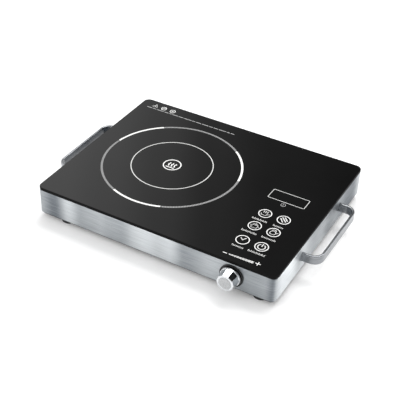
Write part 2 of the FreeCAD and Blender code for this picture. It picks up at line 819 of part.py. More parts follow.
def knob():
    """Plated knob: round skirt, faceted grip, a pocket for the nut and a flatted shaft hole."""
    outward = Vector(0, -1, 0)
    skirt = rod(skirt_radius, on_knob_axis(knob_back), on_knob_axis(grip_back))
    rim = [edge for edge in skirt.Edges if abs(edge.BoundBox.YMin + housing_half_y + grip_back) < 1e-3
           and edge.BoundBox.YLength < 1e-3]
    skirt = skirt.makeFillet(min(skirt_round, 0.3 * skirt_length), rim)
    grip = Part.makeCone(grip_radius_back, grip_radius_front, grip_length, on_knob_axis(grip_back), outward)
    grip = grip.common(grip_prism(grip_radius_back - grip_flat_depth, grip_radius_front - grip_flat_depth))
    face_radius = grip_radius_front - knob_face_bevel
    bevel_body = Part.makeCone(face_radius + grip_length, face_radius, grip_length,
                               on_knob_axis(grip_back), outward)
    grip = grip.common(bevel_body)
    body = skirt.fuse(grip).removeSplitter()
    pocket_radius = nut_across_flats / math.sqrt(3) + nut_pocket_clearance
    pocket_floor = bush_stand_out - sheet + nut_pocket_clearance
    body = body.cut(rod(pocket_radius, on_knob_axis(knob_back), on_knob_axis(pocket_floor)))
    body = body.cut(shaft_bar(shaft_radius, pocket_floor, shaft_front))
    cap_floor = knob_front - (cap_thickness - cap_stand_out)
    return body.cut(rod(cap_radius, on_knob_axis(cap_floor), on_knob_axis(knob_front)))


def knob_cap():
    """Spun metal disc let into the knob's face."""
    cap_front = knob_front + cap_stand_out
    return rod(cap_radius, on_knob_axis(cap_front - cap_thickness), on_knob_axis(cap_front))


def knob_bezel():
    """Dished trim ring between the knob and the wall."""
    ring = rod(bezel_radius, on_knob_axis(0), on_knob_axis(bezel_thickness))
    dish = rod(bezel_radius - bezel_lip, on_knob_axis(bezel_thickness - bezel_dish_depth),
               on_knob_axis(bezel_thickness))
    hole = rod(bush_radius + bush_clearance, on_knob_axis(0), on_knob_axis(bezel_thickness))
    return ring.cut([dish, hole])


def encoder_body():
    """Rotary encoder's case behind the wall, with a socket for the shaft and three pins."""
    half = encoder_width / 2
    back_y = -wall_half_y + encoder_depth
    case = box(knob_x - half, knob_x + half, -wall_half_y, back_y, knob_z - half, knob_z + half)
    pin_y = back_y - encoder_pin_from_back - encoder_pin_width / 2
    pins = [centred_box(knob_x + i * encoder_pin_pitch, pin_y, encoder_pin_width, encoder_pin_width,
                        knob_z - half - encoder_pin_length, knob_z - half) for i in (-1, 0, 1)]
    case = case.fuse(pins)
    return case.cut(rod(shaft_radius + shaft_running_clearance, on_knob_axis(-sheet),
                        on_knob_axis(-sheet - shaft_socket_depth)))


def encoder_bush():
    """Threaded bush that the shaft runs in."""
    front = bush_stand_out - sheet
    bush = rod(bush_radius, on_knob_axis(-sheet), on_knob_axis(front))
    return bush.cut(rod(shaft_radius + shaft_running_clearance, on_knob_axis(-sheet), on_knob_axis(front)))


def encoder_shaft():
    """Knob's shaft, from the encoder's socket to the flat inside the knob."""
    return shaft_bar(shaft_radius, -sheet - shaft_socket_depth + knob_gap, shaft_front)


def encoder_washer():
    """Flat washer on the bezel."""
    back = bezel_thickness - bezel_dish_depth
    disc = rod(washer_radius, on_knob_axis(back), on_knob_axis(nut_back))
    return disc.cut(rod(bush_radius + bush_clearance, on_knob_axis(back), on_knob_axis(nut_back)))


def encoder_nut():
    """Nut on the bush, inside the knob's pocket."""
    nut = hexagon(nut_across_flats, on_knob_axis(nut_back), on_knob_axis(nut_front))
    return nut.cut(rod(bush_radius, on_knob_axis(nut_back), on_knob_axis(nut_front)))


# ----------------------------------------------------------------- cord entry

def on_gland_axis(out):
    """Point on the gland's axis, a distance out from the band's rear face."""
    return Vector(gland_x, housing_half_y + out, gland_z)


def cord_gland():
    """Moulded gland: barrel through the wall, flange and nose outside, one bore right through."""
    nose_front = gland_flange_thickness + gland_nose
    barrel = rod(gland_barrel_radius, on_gland_axis(-gland_barrel_inside), on_gland_axis(0))
    flange = rod(gland_flange_radius, on_gland_axis(0), on_gland_axis(gland_flange_thickness))
    nose = rod(gland_nose_radius, on_gland_axis(gland_flange_thickness), on_gland_axis(nose_front))
    body = barrel.fuse([flange, nose]).removeSplitter()
    return body.cut(rod(gland_bore_radius, on_gland_axis(-gland_barrel_inside), on_gland_axis(nose_front)))


def gland_nut():
    """Nut on the gland's barrel, inside the wall."""
    nut = hexagon(gland_nut_radius * math.sqrt(3), on_gland_axis(-sheet),
                  on_gland_axis(-sheet - gland_nut_thickness))
    return nut.cut(rod(gland_barrel_radius, on_gland_axis(0), on_gland_axis(-sheet - gland_nut_thickness)))


def terminal_block():
    """Three-way terminal block on the pan's pad."""
    x, y = terminal_place()
    z_low = pan_top + terminal_stand
    z_high = z_low + terminal_height
    block = centred_box(x, y, terminal_width, terminal_depth, z_low, z_high)
    pitch = terminal_width / 3
    for i in (-1, 0, 1):
        way_x = x + i * pitch
        block = block.cut(post(terminal_clamp_radius, way_x, y, z_high - terminal_clamp_depth, z_high))
        wire_z = z_low + terminal_wire_height
        block = block.cut(rod(terminal_wire_radius, Vector(way_x, y - terminal_depth, wire_z),
                              Vector(way_x, y + terminal_depth, wire_z)))
    return block


def earth_stud():
    """Stud welded to the inside of the rear wall."""
    x = right_edge - earth_from_right
    return rod(earth_stud_radius, Vector(x, wall_half_y, gland_z),
               Vector(x, wall_half_y - earth_stud_length, gland_z))


def earth_nut():
    """Nut on the earth stud."""
    x = right_edge - earth_from_right
    start = Vector(x, wall_half_y - earth_tag_gap, gland_z)
    end = start - Y_AXIS * earth_nut_thickness
    return hexagon(earth_nut_across_flats, start, end).cut(rod(earth_stud_radius, start, end))


# ----------------------------------------------------------------------- coil

def mica_sheet():
    """Insulating disc under the plate."""
    return post(mica_radius, coil_x, coil_y, plate_bottom - mica_thickness, plate_bottom)


def induction_coil():
    """Flat winding with a groove between its groups of turns."""
    winding = tube(coil_radius, coil_hole_radius, coil_x, coil_y, coil_bottom, coil_top)
    groove_half = coil_groove_depth / 2
    radius = coil_hole_radius + coil_groove_pitch
    grooves = []
    while radius < coil_radius - coil_groove_pitch / 2:
        grooves.append(tube(radius + groove_half, radius - groove_half, coil_x, coil_y,
                            coil_top - coil_groove_depth, coil_top))
        radius += coil_groove_pitch
    return winding.cut(grooves)


def coil_former():
    """Plastic spider: hub, arms and rim under the winding, with lugs for the support screws."""
    rim = tube(coil_radius + former_rim_wall, coil_radius, coil_x, coil_y, former_bottom, coil_top)
    hub = tube(coil_hole_radius, coil_hole_radius - former_hub_wall, coil_x, coil_y, hub_bottom, coil_top)
    bridge = post(coil_hole_radius, coil_x, coil_y, hub_bottom, hub_bottom + former_bridge)
    pieces = [hub, bridge]
    start = coil_hole_radius - former_hub_wall / 2
    end = coil_radius + former_rim_wall / 2
    for i in range(former_arm_count):
        arm = box(start, end, -former_arm_width / 2, former_arm_width / 2, former_bottom, coil_bottom)
        arm.rotate(Vector(0, 0, 0), Z_AXIS, (i + 0.5) * 360 / former_arm_count)
        arm.translate(Vector(coil_x, coil_y, 0))
        pieces.append(arm)
    rim_outside = coil_radius + former_rim_wall
    for x, y in former_lug_places():
        reach = Vector(x - coil_x, y - coil_y, 0).normalize()
        lug = post(former_lug_radius, x, y, former_bottom, coil_bottom)
        neck = box(coil_radius + 1, rim_outside + former_lug_reach, -former_lug_radius, former_lug_radius,
                   former_bottom, coil_bottom)
        neck.rotate(Vector(0, 0, 0), Z_AXIS, math.degrees(math.atan2(reach.y, reach.x)))
        neck.translate(Vector(coil_x, coil_y, 0))
        pieces += [lug, neck]
    former = rim.fuse(pieces).removeSplitter()
    holes = [post(coil_screw_radius + screw_hole_clearance, x, y, former_bottom, coil_bottom)
             for x, y in former_lug_places()]
    holes.append(post(sensor_stem_radius + sensor_bore_clearance, coil_x, coil_y,
                      hub_bottom, hub_bottom + former_bridge))
    return former.cut(holes)


def ferrite_bars():
    """Flux bars glued under the former's arms."""
    middle = (coil_hole_radius + coil_radius) / 2 + 1
    bars = []
    for i in range(former_arm_count):
        bar = box(middle - ferrite_length / 2, middle + ferrite_length / 2,
                  -ferrite_width / 2, ferrite_width / 2, former_bottom - ferrite_height, former_bottom)
        bar.rotate(Vector(0, 0, 0), Z_AXIS, (i + 0.5) * 360 / former_arm_count)
        bar.translate(Vector(coil_x, coil_y, 0))
        bars.append(bar)
    return Part.makeCompound(bars)


def coil_screws():
    """Screws down through the lugs into the pan's bosses."""
    length = coil_bottom - (pan_top + coil_boss_height) + coil_screw_bite
    return Part.makeCompound([screw(coil_screw_radius, length, Vector(x, y, coil_bottom), Z_AXIS * -1)
                              for x, y in former_lug_places()])


def coil_springs():
    """Springs round the support screws, which press the coil up to the plate."""
    mean_radius = coil_screw_radius + spring_clearance + spring_wire_radius
    return Part.makeCompound([coil_spring(mean_radius, spring_wire_radius, coil_spring_turns, x, y,
                                          pan_top + coil_boss_height, former_bottom)
                              for x, y in former_lug_places()])


sensor_head_top = coil_top - sensor_bead_height + coil_air_gap
sensor_head_bottom = sensor_head_top - sensor_head_height


def sensor_holder():
    """Sprung plunger that carries the temperature sensor in the coil's eye."""
    head = post(sensor_head_radius, coil_x, coil_y, sensor_head_bottom, sensor_head_top)
    stem = post(sensor_stem_radius, coil_x, coil_y, hub_bottom - sensor_stem_below, sensor_head_bottom)
    return head.fuse(stem).removeSplitter()


def temperature_sensor():
    """Thermistor bead between the plunger and the mica."""
    return post(sensor_bead_radius, coil_x, coil_y, sensor_head_top, sensor_head_top + sensor_bead_height)


def sensor_spring():
    """Spring under the plunger's head."""
    mean_radius = sensor_stem_radius + spring_clearance + spring_wire_radius
    return coil_spring(mean_radius, spring_wire_radius, sensor_spring_turns, coil_x, coil_y,
                       hub_bottom + former_bridge, sensor_head_bottom)


# -------------------------------------------------------------- control panel

def key_places():
    """Centres of the touch keys: two columns, three rows."""
    return [(panel_x + side * key_spacing / 2, front_edge + row)
            for row in key_rows_from_front for side in (-1, 1)]


def panel_screw_places():
    """Centres of the board carrier's corner posts."""
    inset = 2 * carrier_wall + carrier_post
    return corner_places(panel_x, panel_y, panel_width - inset, panel_depth - inset)


def board_carrier():
    """Frame bonded under the plate, with a post in each corner."""
    outer = centred_box(panel_x, panel_y, panel_width, panel_depth, control_board_bottom, plate_bottom)
    wall = 2 * carrier_wall
    frame = outer.cut(centred_box(panel_x, panel_y, panel_width - wall, panel_depth - wall,
                                  control_board_bottom, plate_bottom))
    posts = [centred_box(x, y, carrier_post, carrier_post, control_board_top, plate_bottom)
             for x, y in panel_screw_places()]
    frame = frame.fuse(posts).removeSplitter()
    tip = control_board_bottom + panel_screw_length
    return frame.cut([post(panel_screw_radius, x, y, control_board_top, tip)
                      for x, y in panel_screw_places()])


def control_board():
    """Circuit board of the touch keys and the display."""
    gap = 2 * (carrier_wall + board_clearance)
    board = centred_box(panel_x, panel_y, panel_width - gap, panel_depth - gap,
                        control_board_bottom, control_board_top)
    return board.cut([post(panel_screw_radius + screw_hole_clearance, x, y,
                           control_board_bottom, control_board_top) for x, y in panel_screw_places()])


def panel_screws():
    """Screws up through the control board into the carrier's posts."""
    return [screw(panel_screw_radius, panel_screw_length, Vector(x, y, control_board_bottom), Z_AXIS)
            for x, y in panel_screw_places()]


def touch_springs():
    """Sensor spring under each touch key, between the board and the plate."""
    return Part.makeCompound([coil_spring(touch_spring_radius, spring_wire_radius, touch_spring_turns, x, y,
                                          control_board_top, plate_bottom)
                              for x, y in key_places()])


def key_lights():
    """Indicator beside each touch spring."""
    top = control_board_top + key_light_height
    return Part.makeCompound([centred_box(x, y + key_light_offset, key_light_width, key_light_depth,
                                          control_board_top, top) for x, y in key_places()])


def display_module():
    """Digit display under the plate's window, with a recess for each digit."""
    y = front_edge + display_from_front
    top = plate_bottom - display_glass_gap
    block = centred_box(panel_x, y, display_width, display_depth, control_board_top, top)
    pitch = display_width / display_digits
    digit_depth = display_depth - 2 * display_digit_margin
    for i in range(display_digits):
        digit_x = panel_x + (i - (display_digits - 1) / 2) * pitch
        block = block.cut(centred_box(digit_x, y, pitch - display_digit_gap, digit_depth,
                                      top - display_digit_recess, top))
    return block


def controller_chip():
    """Controller under the control board."""
    return centred_box(panel_x, panel_y, controller_size, controller_size,
                       control_board_bottom - controller_height, control_board_bottom)


# ---------------------------------------------------------------- power board

def on_board(dx, dy):
    """Point on the power board, from its middle."""
    return power_x + dx, power_y + dy


sink_dx = -(power_width - sink_width) / 2 + sink_from_side
sink_dy = (power_depth - sink_depth) / 2 - sink_from_rear
transistor_dy = sink_dy + sink_depth / 4
rectifier_dy = sink_dy - sink_depth / 4


def sink_screw_places():
    """Screws through the transistor and the rectifier."""
    return [on_board(sink_dx, transistor_dy), on_board(sink_dx, rectifier_dy)]


def power_board():
    """Main circuit board on the pan's standoffs."""
    board = centred_box(power_x, power_y, power_width, power_depth, power_board_bottom, power_board_top)
    holes = [post(power_screw_radius + screw_hole_clearance, x, y, power_board_bottom, power_board_top)
             for x, y in power_screw_places()]
    holes += [post(sink_screw_radius + screw_hole_clearance, x, y, power_board_bottom, power_board_top)
              for x, y in sink_screw_places()]
    return board.cut(holes)


def power_screws():
    """Screws down through the power board."""
    return [screw(power_screw_radius, power_screw_length, Vector(x, y, power_board_top), Z_AXIS * -1)
            for x, y in power_screw_places()]


def heat_sink():
    """Finned aluminium section on top of the power devices."""
    x, y = on_board(sink_dx, sink_dy)
    sink = centred_box(x, y, sink_width, sink_depth, sink_bottom, sink_bottom + sink_base)
    step = (sink_width - sink_fin) / (sink_fin_count - 1)
    fins = [centred_box(x - (sink_width - sink_fin) / 2 + i * step, y, sink_fin, sink_depth,
                        sink_bottom + sink_base, sink_bottom + sink_height) for i in range(sink_fin_count)]
    sink = sink.fuse(fins).removeSplitter()
    hole_top = sink_bottom + sink_base - sink_hole_floor
    return sink.cut([post(sink_screw_radius, hole_x, hole_y, sink_bottom, hole_top)
                     for hole_x, hole_y in sink_screw_places()])


def device(width, depth, dy):
    """Flat power device between the board and the heat sink, with its screw hole."""
    x, y = on_board(sink_dx, dy)
    body = centred_box(x, y, width, depth, power_board_top, sink_bottom)
    return body.cut(post(sink_screw_radius + screw_hole_clearance, x, y, power_board_top, sink_bottom))


def sink_screws():
    """Screws from under the board through the devices into the heat sink."""
    length = sink_bottom + sink_base - sink_hole_floor - sink_screw_tip_gap - power_board_bottom
    return [screw(sink_screw_radius, length, Vector(x, y, power_board_bottom), Z_AXIS)
            for x, y in sink_screw_places()]


def film_capacitors():
    """Boxed resonance, smoothing and filter capacitors, with rounded top edges."""
    capacitors = []
    for dx, dy, width, depth, height in film_capacitor_sizes:
        x, y = on_board(dx, dy)
        top = power_board_top + height
        body = centred_box(x, y, width, depth, power_board_top, top)
        capacitors.append(body.makeFillet(film_capacitor_round, level_edges(body, top)))
    return Part.makeCompound(capacitors)


def can_capacitors():
    """Upright can capacitors with a crimped top edge."""
    top = power_board_top + can_height
    cans = []
    for dx, dy in can_places:
        x, y = on_board(dx, dy)
        can = post(can_radius, x, y, power_board_top, top)
        cans.append(can.makeFillet(can_crimp, level_edges(can, top)))
    return Part.makeCompound(cans)


def filter_choke():
    """Wound ring, lying on the board."""
    x, y = on_board(*choke_place)
    return Part.makeTorus(choke_ring_radius, choke_winding_radius,
                          Vector(x, y, power_board_top + choke_winding_radius))


def supply_transformer():
    """Small transformer: laminated core round a bobbin."""
    x, y = on_board(*transformer_place)
    width, depth, height = transformer_bobbin
    bobbin = centred_box(x, y, width, depth, power_board_top, power_board_top + height)
    width, depth, height = transformer_core
    core_bottom = power_board_top + transformer_core_lift
    return bobbin.fuse(centred_box(x, y, width, depth, core_bottom, core_bottom + height))


def fuse():
    """Cartridge fuse between two clips that are open at the top."""
    x, y = on_board(*fuse_place)
    axis_z = power_board_top + fuse_axis_height
    link = rod(fuse_radius, Vector(x - fuse_length / 2, y, axis_z), Vector(x + fuse_length / 2, y, axis_z))
    pieces = [link]
    clip_depth = 2 * (fuse_radius + fuse_clip_wall)
    mouth = fuse_mouth * fuse_radius
    for side in (-1, 1):
        clip_x = x + side * fuse_clip_spacing / 2
        clip_top = axis_z + fuse_radius / 2
        clip = centred_box(clip_x, y, fuse_clip_width, clip_depth, power_board_top, clip_top)
        pieces.append(clip.cut([link, centred_box(clip_x, y, fuse_clip_width, mouth, axis_z, clip_top)]))
    return Part.makeCompound(pieces)


def buzzer():
    """Round buzzer with a sound hole."""
    x, y = on_board(*buzzer_place)
    top = power_board_top + buzzer_height
    body = post(buzzer_radius, x, y, power_board_top, top)
    return body.cut(post(buzzer_hole_radius, x, y, top - buzzer_hole_depth, top))


def coil_leads():
    """Two leads from the coil down to the power board."""
    leads = []
    start_x = coil_x + coil_radius - coil_lead_inset
    board_x = power_x - power_width / 2 + coil_lead_from_side
    height = former_bottom - ferrite_height - coil_lead_drop
    for i in range(2):
        start_y = coil_y - coil_lead_aside - i * coil_lead_pitch
        board_y = start_y - coil_lead_jog
        points = [Vector(start_x, start_y, coil_bottom - lead_bite),
                  Vector(start_x, start_y, height),
                  Vector(board_x, board_y, height),
                  Vector(board_x, board_y, power_board_top)]
        leads.append(lead(points))
    return leads


def mains_leads():
    """Two leads from the terminal block to the power board."""
    x, y = terminal_place()
    way = terminal_width / 3
    board_y = power_y + power_depth / 2 - mains_lead_from_rear
    level = pan_top + terminal_stand + terminal_wire_height
    high = level + mains_lead_rise
    leads = []
    for i in (-1, 0):
        way_x = x + i * way
        board_x = power_x - power_width / 2 + mains_lead_from_side + (i + 1) * mains_lead_pitch
        points = [Vector(way_x, y - terminal_depth / 2, level),
                  Vector(way_x, board_y + mains_lead_far, level),
                  Vector(board_x, board_y + mains_lead_near, high),
                  Vector(board_x, board_y, high),
                  Vector(board_x, board_y, power_board_top)]
        leads.append(lead(points))
    return leads


def control_ribbon():
    """Flat cable between the two circuit boards."""
    x, y = on_board(*ribbon_place)
    return centred_box(x, y, ribbon_thickness, ribbon_width, power_board_top, control_board_bottom)


# ---------------------------------------------------------------- cooling fan

rotor_bottom = fan_bottom + fan_strut_height + fan_air_gap
rotor_top = fan_top - fan_air_gap
bearing_top = rotor_top - fan_cup_wall - fan_air_gap


def fan_frame():
    """Square frame with a round duct, corner tabs, struts and the bearing tube."""
    frame = rounded_block(fan_size / 2, fan_size / 2, fan_corner, fan_bottom, fan_top, fan_x, fan_y)
    frame = frame.cut(post(fan_duct_radius, fan_x, fan_y, fan_bottom, fan_top))
    strut_top = fan_bottom + fan_strut_height
    plate = post(fan_hub_radius, fan_x, fan_y, fan_bottom, strut_top)
    struts = []
    for angle in (45, 135):
        strut = centred_box(0, 0, 2 * fan_duct_radius + 4, fan_strut_width, fan_bottom, strut_top)
        strut.rotate(Vector(0, 0, 0), Z_AXIS, angle)
        strut.translate(Vector(fan_x, fan_y, 0))
        struts.append(strut)
    bore = fan_shaft_radius + shaft_running_clearance
    bearing = post(bore + fan_bearing_wall, fan_x, fan_y, fan_bottom, bearing_top)
    frame = frame.fuse([plate, bearing] + struts).removeSplitter()
    holes = [post(bore, fan_x, fan_y, strut_top - 1, bearing_top)]
    holes += [post(fan_screw_radius + screw_hole_clearance, x, y, fan_bottom, fan_top)
              for x, y in fan_screw_places()]
    return frame.cut(holes)


def fan_stator():
    """Motor winding round the bearing tube, inside the rotor's cup."""
    inner = fan_shaft_radius + shaft_running_clearance + fan_bearing_wall
    outer = fan_hub_radius - fan_cup_wall - fan_stator_gap
    top = rotor_top - fan_cup_wall - 2 * fan_air_gap
    ring = tube(outer, inner, fan_x, fan_y, fan_bottom + fan_strut_height, top)
    slots = []
    for i in range(fan_pole_count):
        slot = box(inner + fan_pole_core, outer + 1, -fan_pole_slot / 2, fan_pole_slot / 2,
                   fan_bottom + fan_strut_height, top)
        slot.rotate(Vector(0, 0, 0), Z_AXIS, (i + 0.5) * 360 / fan_pole_count)
        slot.translate(Vector(fan_x, fan_y, 0))
        slots.append(slot)
    return ring.cut(slots)


def fan_rotor():
    """Impeller: a cup with pitched blades."""
    cup = tube(fan_hub_radius, fan_hub_radius - fan_cup_wall, 0, 0, rotor_bottom, rotor_top)
    cup = cup.fuse(post(fan_hub_radius, 0, 0, rotor_top - fan_cup_wall, rotor_top))
    middle = (rotor_bottom + rotor_top) / 2
    tip = fan_duct_radius - fan_tip_gap
    sweep = tube(tip, fan_hub_radius - fan_cup_wall / 2, 0, 0, rotor_bottom, rotor_top)
    blades = []
    for i in range(fan_blade_count):
        blade = box(fan_hub_radius - fan_cup_wall, tip, -fan_depth, fan_depth,
                    -fan_blade_thickness / 2, fan_blade_thickness / 2)
        blade.rotate(Vector(0, 0, 0), X_AXIS, fan_blade_pitch)
        blade.translate(Vector(0, 0, middle))
        blade.rotate(Vector(0, 0, 0), Z_AXIS, i * 360 / fan_blade_count)
        blades.append(blade.common(sweep))
    rotor = cup.fuse(blades).removeSplitter()
    rotor = rotor.cut(post(fan_shaft_radius, 0, 0, rotor_bottom, rotor_top))
    rotor.translate(Vector(fan_x, fan_y, 0))
    return rotor


def fan_shaft():
    """Steel shaft pressed into the impeller and running in the bearing tube."""
    return post(fan_shaft_radius, fan_x, fan_y, fan_bottom + fan_strut_height, rotor_top)


def fan_screws():
    """Screws down through the fan's corners."""
    length = fan_depth + fan_stand - fan_screw_tip_gap
    return Part.makeCompound([screw(fan_screw_radius, length, Vector(x, y, fan_top), Z_AXIS * -1)
                              for x, y in fan_screw_places()])


# ------------------------------------------------------------------- assembly

def write_enclosure():
    """Plate, band, pan, feet and their screws."""
    save("glass_top", glass_top())
    save("glass_seal", glass_seal())
    save("housing_band", housing_band())
    save("base_pan", base_pan())
    save("pan_screws", pan_screws())
    names = ("foot_front_left", "foot_rear_left", "foot_front_right", "foot_rear_right")
    for name, (x, y) in zip(names, foot_places()):
        save(name, foot(x, y))
    save("foot_screws", foot_screws())


def write_handles():
    """Two handles with their brackets and screws."""
    save("handle_right", handle())
    save("handle_left", mirrored(handle()))
    save("handle_brackets", Part.makeCompound([handle_bracket(), mirrored(handle_bracket())]))
    save("handle_screws", handle_screws())


def write_knob():
    """Knob, its trim and the rotary encoder."""
    save("knob", knob())
    save("knob_cap", knob_cap())
    save("knob_bezel", knob_bezel())
    save("encoder_body", encoder_body())
    save("encoder_bush", encoder_bush())
    save("encoder_shaft", encoder_shaft())
    save("encoder_washer", encoder_washer())
    save("encoder_nut", encoder_nut())


def write_supply():
    """Cord entry, terminals, earth and leads."""
    save("cord_gland", cord_gland())
    save("gland_nut", gland_nut())
    save("terminal_block", terminal_block())
    save("earth_terminal", Part.makeCompound([earth_stud(), earth_nut()]))


def write_coil():
    """Induction coil with its former, ferrites, sensor and sprung supports."""
    save("mica_sheet", mica_sheet())
    save("induction_coil", induction_coil())
    save("coil_former", coil_former())
    save("ferrite_bars", ferrite_bars())
    save("coil_screws", coil_screws())
    save("coil_springs", coil_springs())
    save("sensor_holder", sensor_holder())
    save("temperature_sensor", temperature_sensor())
    save("sensor_spring", sensor_spring())


def write_control_panel():
    """Touch board, display and what holds them under the plate."""
    save("board_carrier", board_carrier())
    save("control_board", control_board())
    save("touch_springs", touch_springs())
    save("key_lights", key_lights())
    save("display_module", display_module())
    save("controller_chip", controller_chip())


def write_power_board():
    """Power electronics."""
    save("power_board", power_board())
    save("board_screws", Part.makeCompound(power_screws() + panel_screws() + sink_screws()))
    save("heat_sink", heat_sink())
    save("power_transistor", device(transistor_width, transistor_depth, transistor_dy))
    save("bridge_rectifier", device(rectifier_width, rectifier_depth, rectifier_dy))
    save("film_capacitors", film_capacitors())
    save("can_capacitors", can_capacitors())
    save("filter_choke", filter_choke())
    save("supply_transformer", supply_transformer())
    save("fuse", fuse())
    save("buzzer", buzzer())
    save("control_ribbon", control_ribbon())
    save("power_leads", Part.makeCompound(coil_leads() + mains_leads()))


def write_fan():
    """Cooling fan."""
    save("fan_frame", fan_frame())
    save("fan_stator", fan_stator())
    save("fan_rotor", fan_rotor())
    save("fan_shaft", fan_shaft())
    save("fan_screws", fan_screws())


os.makedirs("parts", exist_ok=True)
write_enclosure()
write_handles()
write_knob()
write_supply()
write_coil()
write_control_panel()
write_power_board()
write_fan()
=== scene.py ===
"""A portable induction cooktop: its outside pieces, finishes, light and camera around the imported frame.

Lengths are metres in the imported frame: X to the user's right, Y away from the user, Z up from the table.
"""

import json
import logging
import math
from collections.abc import Callable, Iterator, Sequence
from contextlib import contextmanager
from dataclasses import dataclass, field
from enum import Enum

import bmesh
import bpy
from mathutils import Matrix, Vector


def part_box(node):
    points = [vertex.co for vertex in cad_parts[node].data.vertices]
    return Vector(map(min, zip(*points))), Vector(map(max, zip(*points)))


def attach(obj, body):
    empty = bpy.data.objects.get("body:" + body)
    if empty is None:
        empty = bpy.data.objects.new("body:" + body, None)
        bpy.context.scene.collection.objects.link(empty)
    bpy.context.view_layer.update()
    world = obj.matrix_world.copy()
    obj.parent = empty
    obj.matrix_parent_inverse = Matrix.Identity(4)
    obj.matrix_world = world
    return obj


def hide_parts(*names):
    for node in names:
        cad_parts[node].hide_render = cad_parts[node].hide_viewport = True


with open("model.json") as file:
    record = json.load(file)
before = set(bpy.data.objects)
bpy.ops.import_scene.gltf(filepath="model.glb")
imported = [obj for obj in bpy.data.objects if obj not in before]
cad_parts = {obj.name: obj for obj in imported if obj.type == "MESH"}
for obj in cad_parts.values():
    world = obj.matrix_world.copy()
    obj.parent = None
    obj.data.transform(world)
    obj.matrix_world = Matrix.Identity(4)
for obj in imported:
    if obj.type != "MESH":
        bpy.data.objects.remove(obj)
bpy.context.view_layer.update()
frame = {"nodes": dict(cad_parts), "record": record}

LOG = logging.getLogger("cooktop")
MM = 0.001
QUARTER = math.pi / 2
ACROSS = Vector((1, 0, 0))
BACK = Vector((0, 1, 0))
FRONT = Vector((0, -1, 0))
UP = Vector((0, 0, 1))
# How far the fired ink stands on the glass.
PRINT_THICKNESS = 0.03 * MM
# The painted light and shade gradients run this far each side of the middle, and this level adds no painted
# light or shade.
PAINTED_LIGHT_REACH = 210 * MM
PAINTED_LIGHT_LEVEL = 0.35
# Two places closer than this are one.
TOUCH = 1e-6
# Above the first a direction counts as along an axis, and below the second as square to it.
ALIGNED = 0.9
STEEP = 0.1
# A face of the plate that leans more than this belongs to its ground edge.
TOP_FACING = 0.999
# Edges flatter than this are shaded as one surface, with the larger faces leading.
SMOOTH_ANGLE = math.radians(32)
NORMAL_WEIGHT = 80
Stops = tuple[tuple[float, float], ...]
Tree = bpy.types.NodeTree
Node = bpy.types.Node
Socket = bpy.types.NodeSocket
SLOT_OF = {row["node"]: row["material_slot"] for row in frame["record"]["subparts"]}


# ---------------------------------------------------------------- colour and node helpers


def linear(hex_colour: str) -> tuple[float, float, float, float]:
    """Turns an sRGB hex colour into the linear colour that a shader reads.

    Args:
        hex_colour: Six hex digits after a hash.

    Returns:
        Red, green, blue and an alpha of one.
    """
    channels = [int(hex_colour[i : i + 2], 16) / 255 for i in (1, 3, 5)]
    curved = [c / 12.92 if c <= 0.04045 else ((c + 0.055) / 1.055) ** 2.4 for c in channels]
    return (*curved, 1.0)


def add_node(
    tree: Tree,
    kind: str,
    settings: dict[str, object] | None = None,
    inputs: dict[str | int, object] | None = None,
) -> Node:
    """Adds one node with its settings, its input values and its links.

    Args:
        tree: The node tree that gets the node.
        kind: Blender's name for the node type.
        settings: Property values of the node.
        inputs: A value or a linked output for each input, by name or number.

    Returns:
        The new node.
    """
    node = tree.nodes.new(kind)
    for name, value in (settings or {}).items():
        setattr(node, name, value)
    for socket, value in (inputs or {}).items():
        if isinstance(value, Socket):
            tree.links.new(value, node.inputs[socket])
        else:
            node.inputs[socket].default_value = value
    return node


def mottle(
    tree: Tree,
    place: Socket,
    size: float,
    low: float,
    high: float,
    stretch: Sequence[float] = (1, 1, 1),
    detail: float = 3.0,
) -> Socket:
    """A soft random variation between two values.

    Args:
        tree: The node tree.
        place: The coordinates that the pattern lies on.
        size: Length of one blotch in metres.
        low: The value in the troughs.
        high: The value on the crests.
        stretch: How much finer the pattern is along each axis.
        detail: How many finer layers lie on the first one.

    Returns:
        The socket that carries the value.
    """
    scale = [part / size for part in stretch]
    laid = add_node(tree, "ShaderNodeMapping", inputs={"Vector": place, "Scale": scale})
    noise = add_node(
        tree,
        "ShaderNodeTexNoise",
        inputs={"Vector": laid.outputs[0], "Scale": 1.0, "Detail": detail, "Roughness": 0.6},
    )
    spread = add_node(
        tree,
        "ShaderNodeMapRange",
        inputs={"Value": noise.outputs[0], "From Min": 0.3, "From Max": 0.7, "To Min": low, "To Max": high},
    )
    return spread.outputs[0]


def graded(tree: Tree, value: Socket, stops: Sequence[tuple[float, float]], reach: float = 1.0) -> Socket:
    """A grey gradient over a value that runs from minus its reach to its reach.

    Args:
        tree: The node tree.
        value: The value that the gradient follows.
        stops: Each stop's value and its brightness.
        reach: The largest value.

    Returns:
        The socket that carries the grey.
    """
    span = {"Value": value, "From Min": -reach, "From Max": reach}
    share = add_node(tree, "ShaderNodeMapRange", inputs=span)
    ramp = add_node(tree, "ShaderNodeValToRGB", inputs={0: share.outputs[0]})
    ramp.color_ramp.interpolation = "EASE"
    shades = ramp.color_ramp.elements
    while len(shades) < len(stops):
        shades.new(0.5)
    for shade, (at, level) in zip(shades, stops):
        shade.position = (at / reach + 1) / 2
        shade.color = (level, level, level, 1.0)
    return ramp.outputs[0]


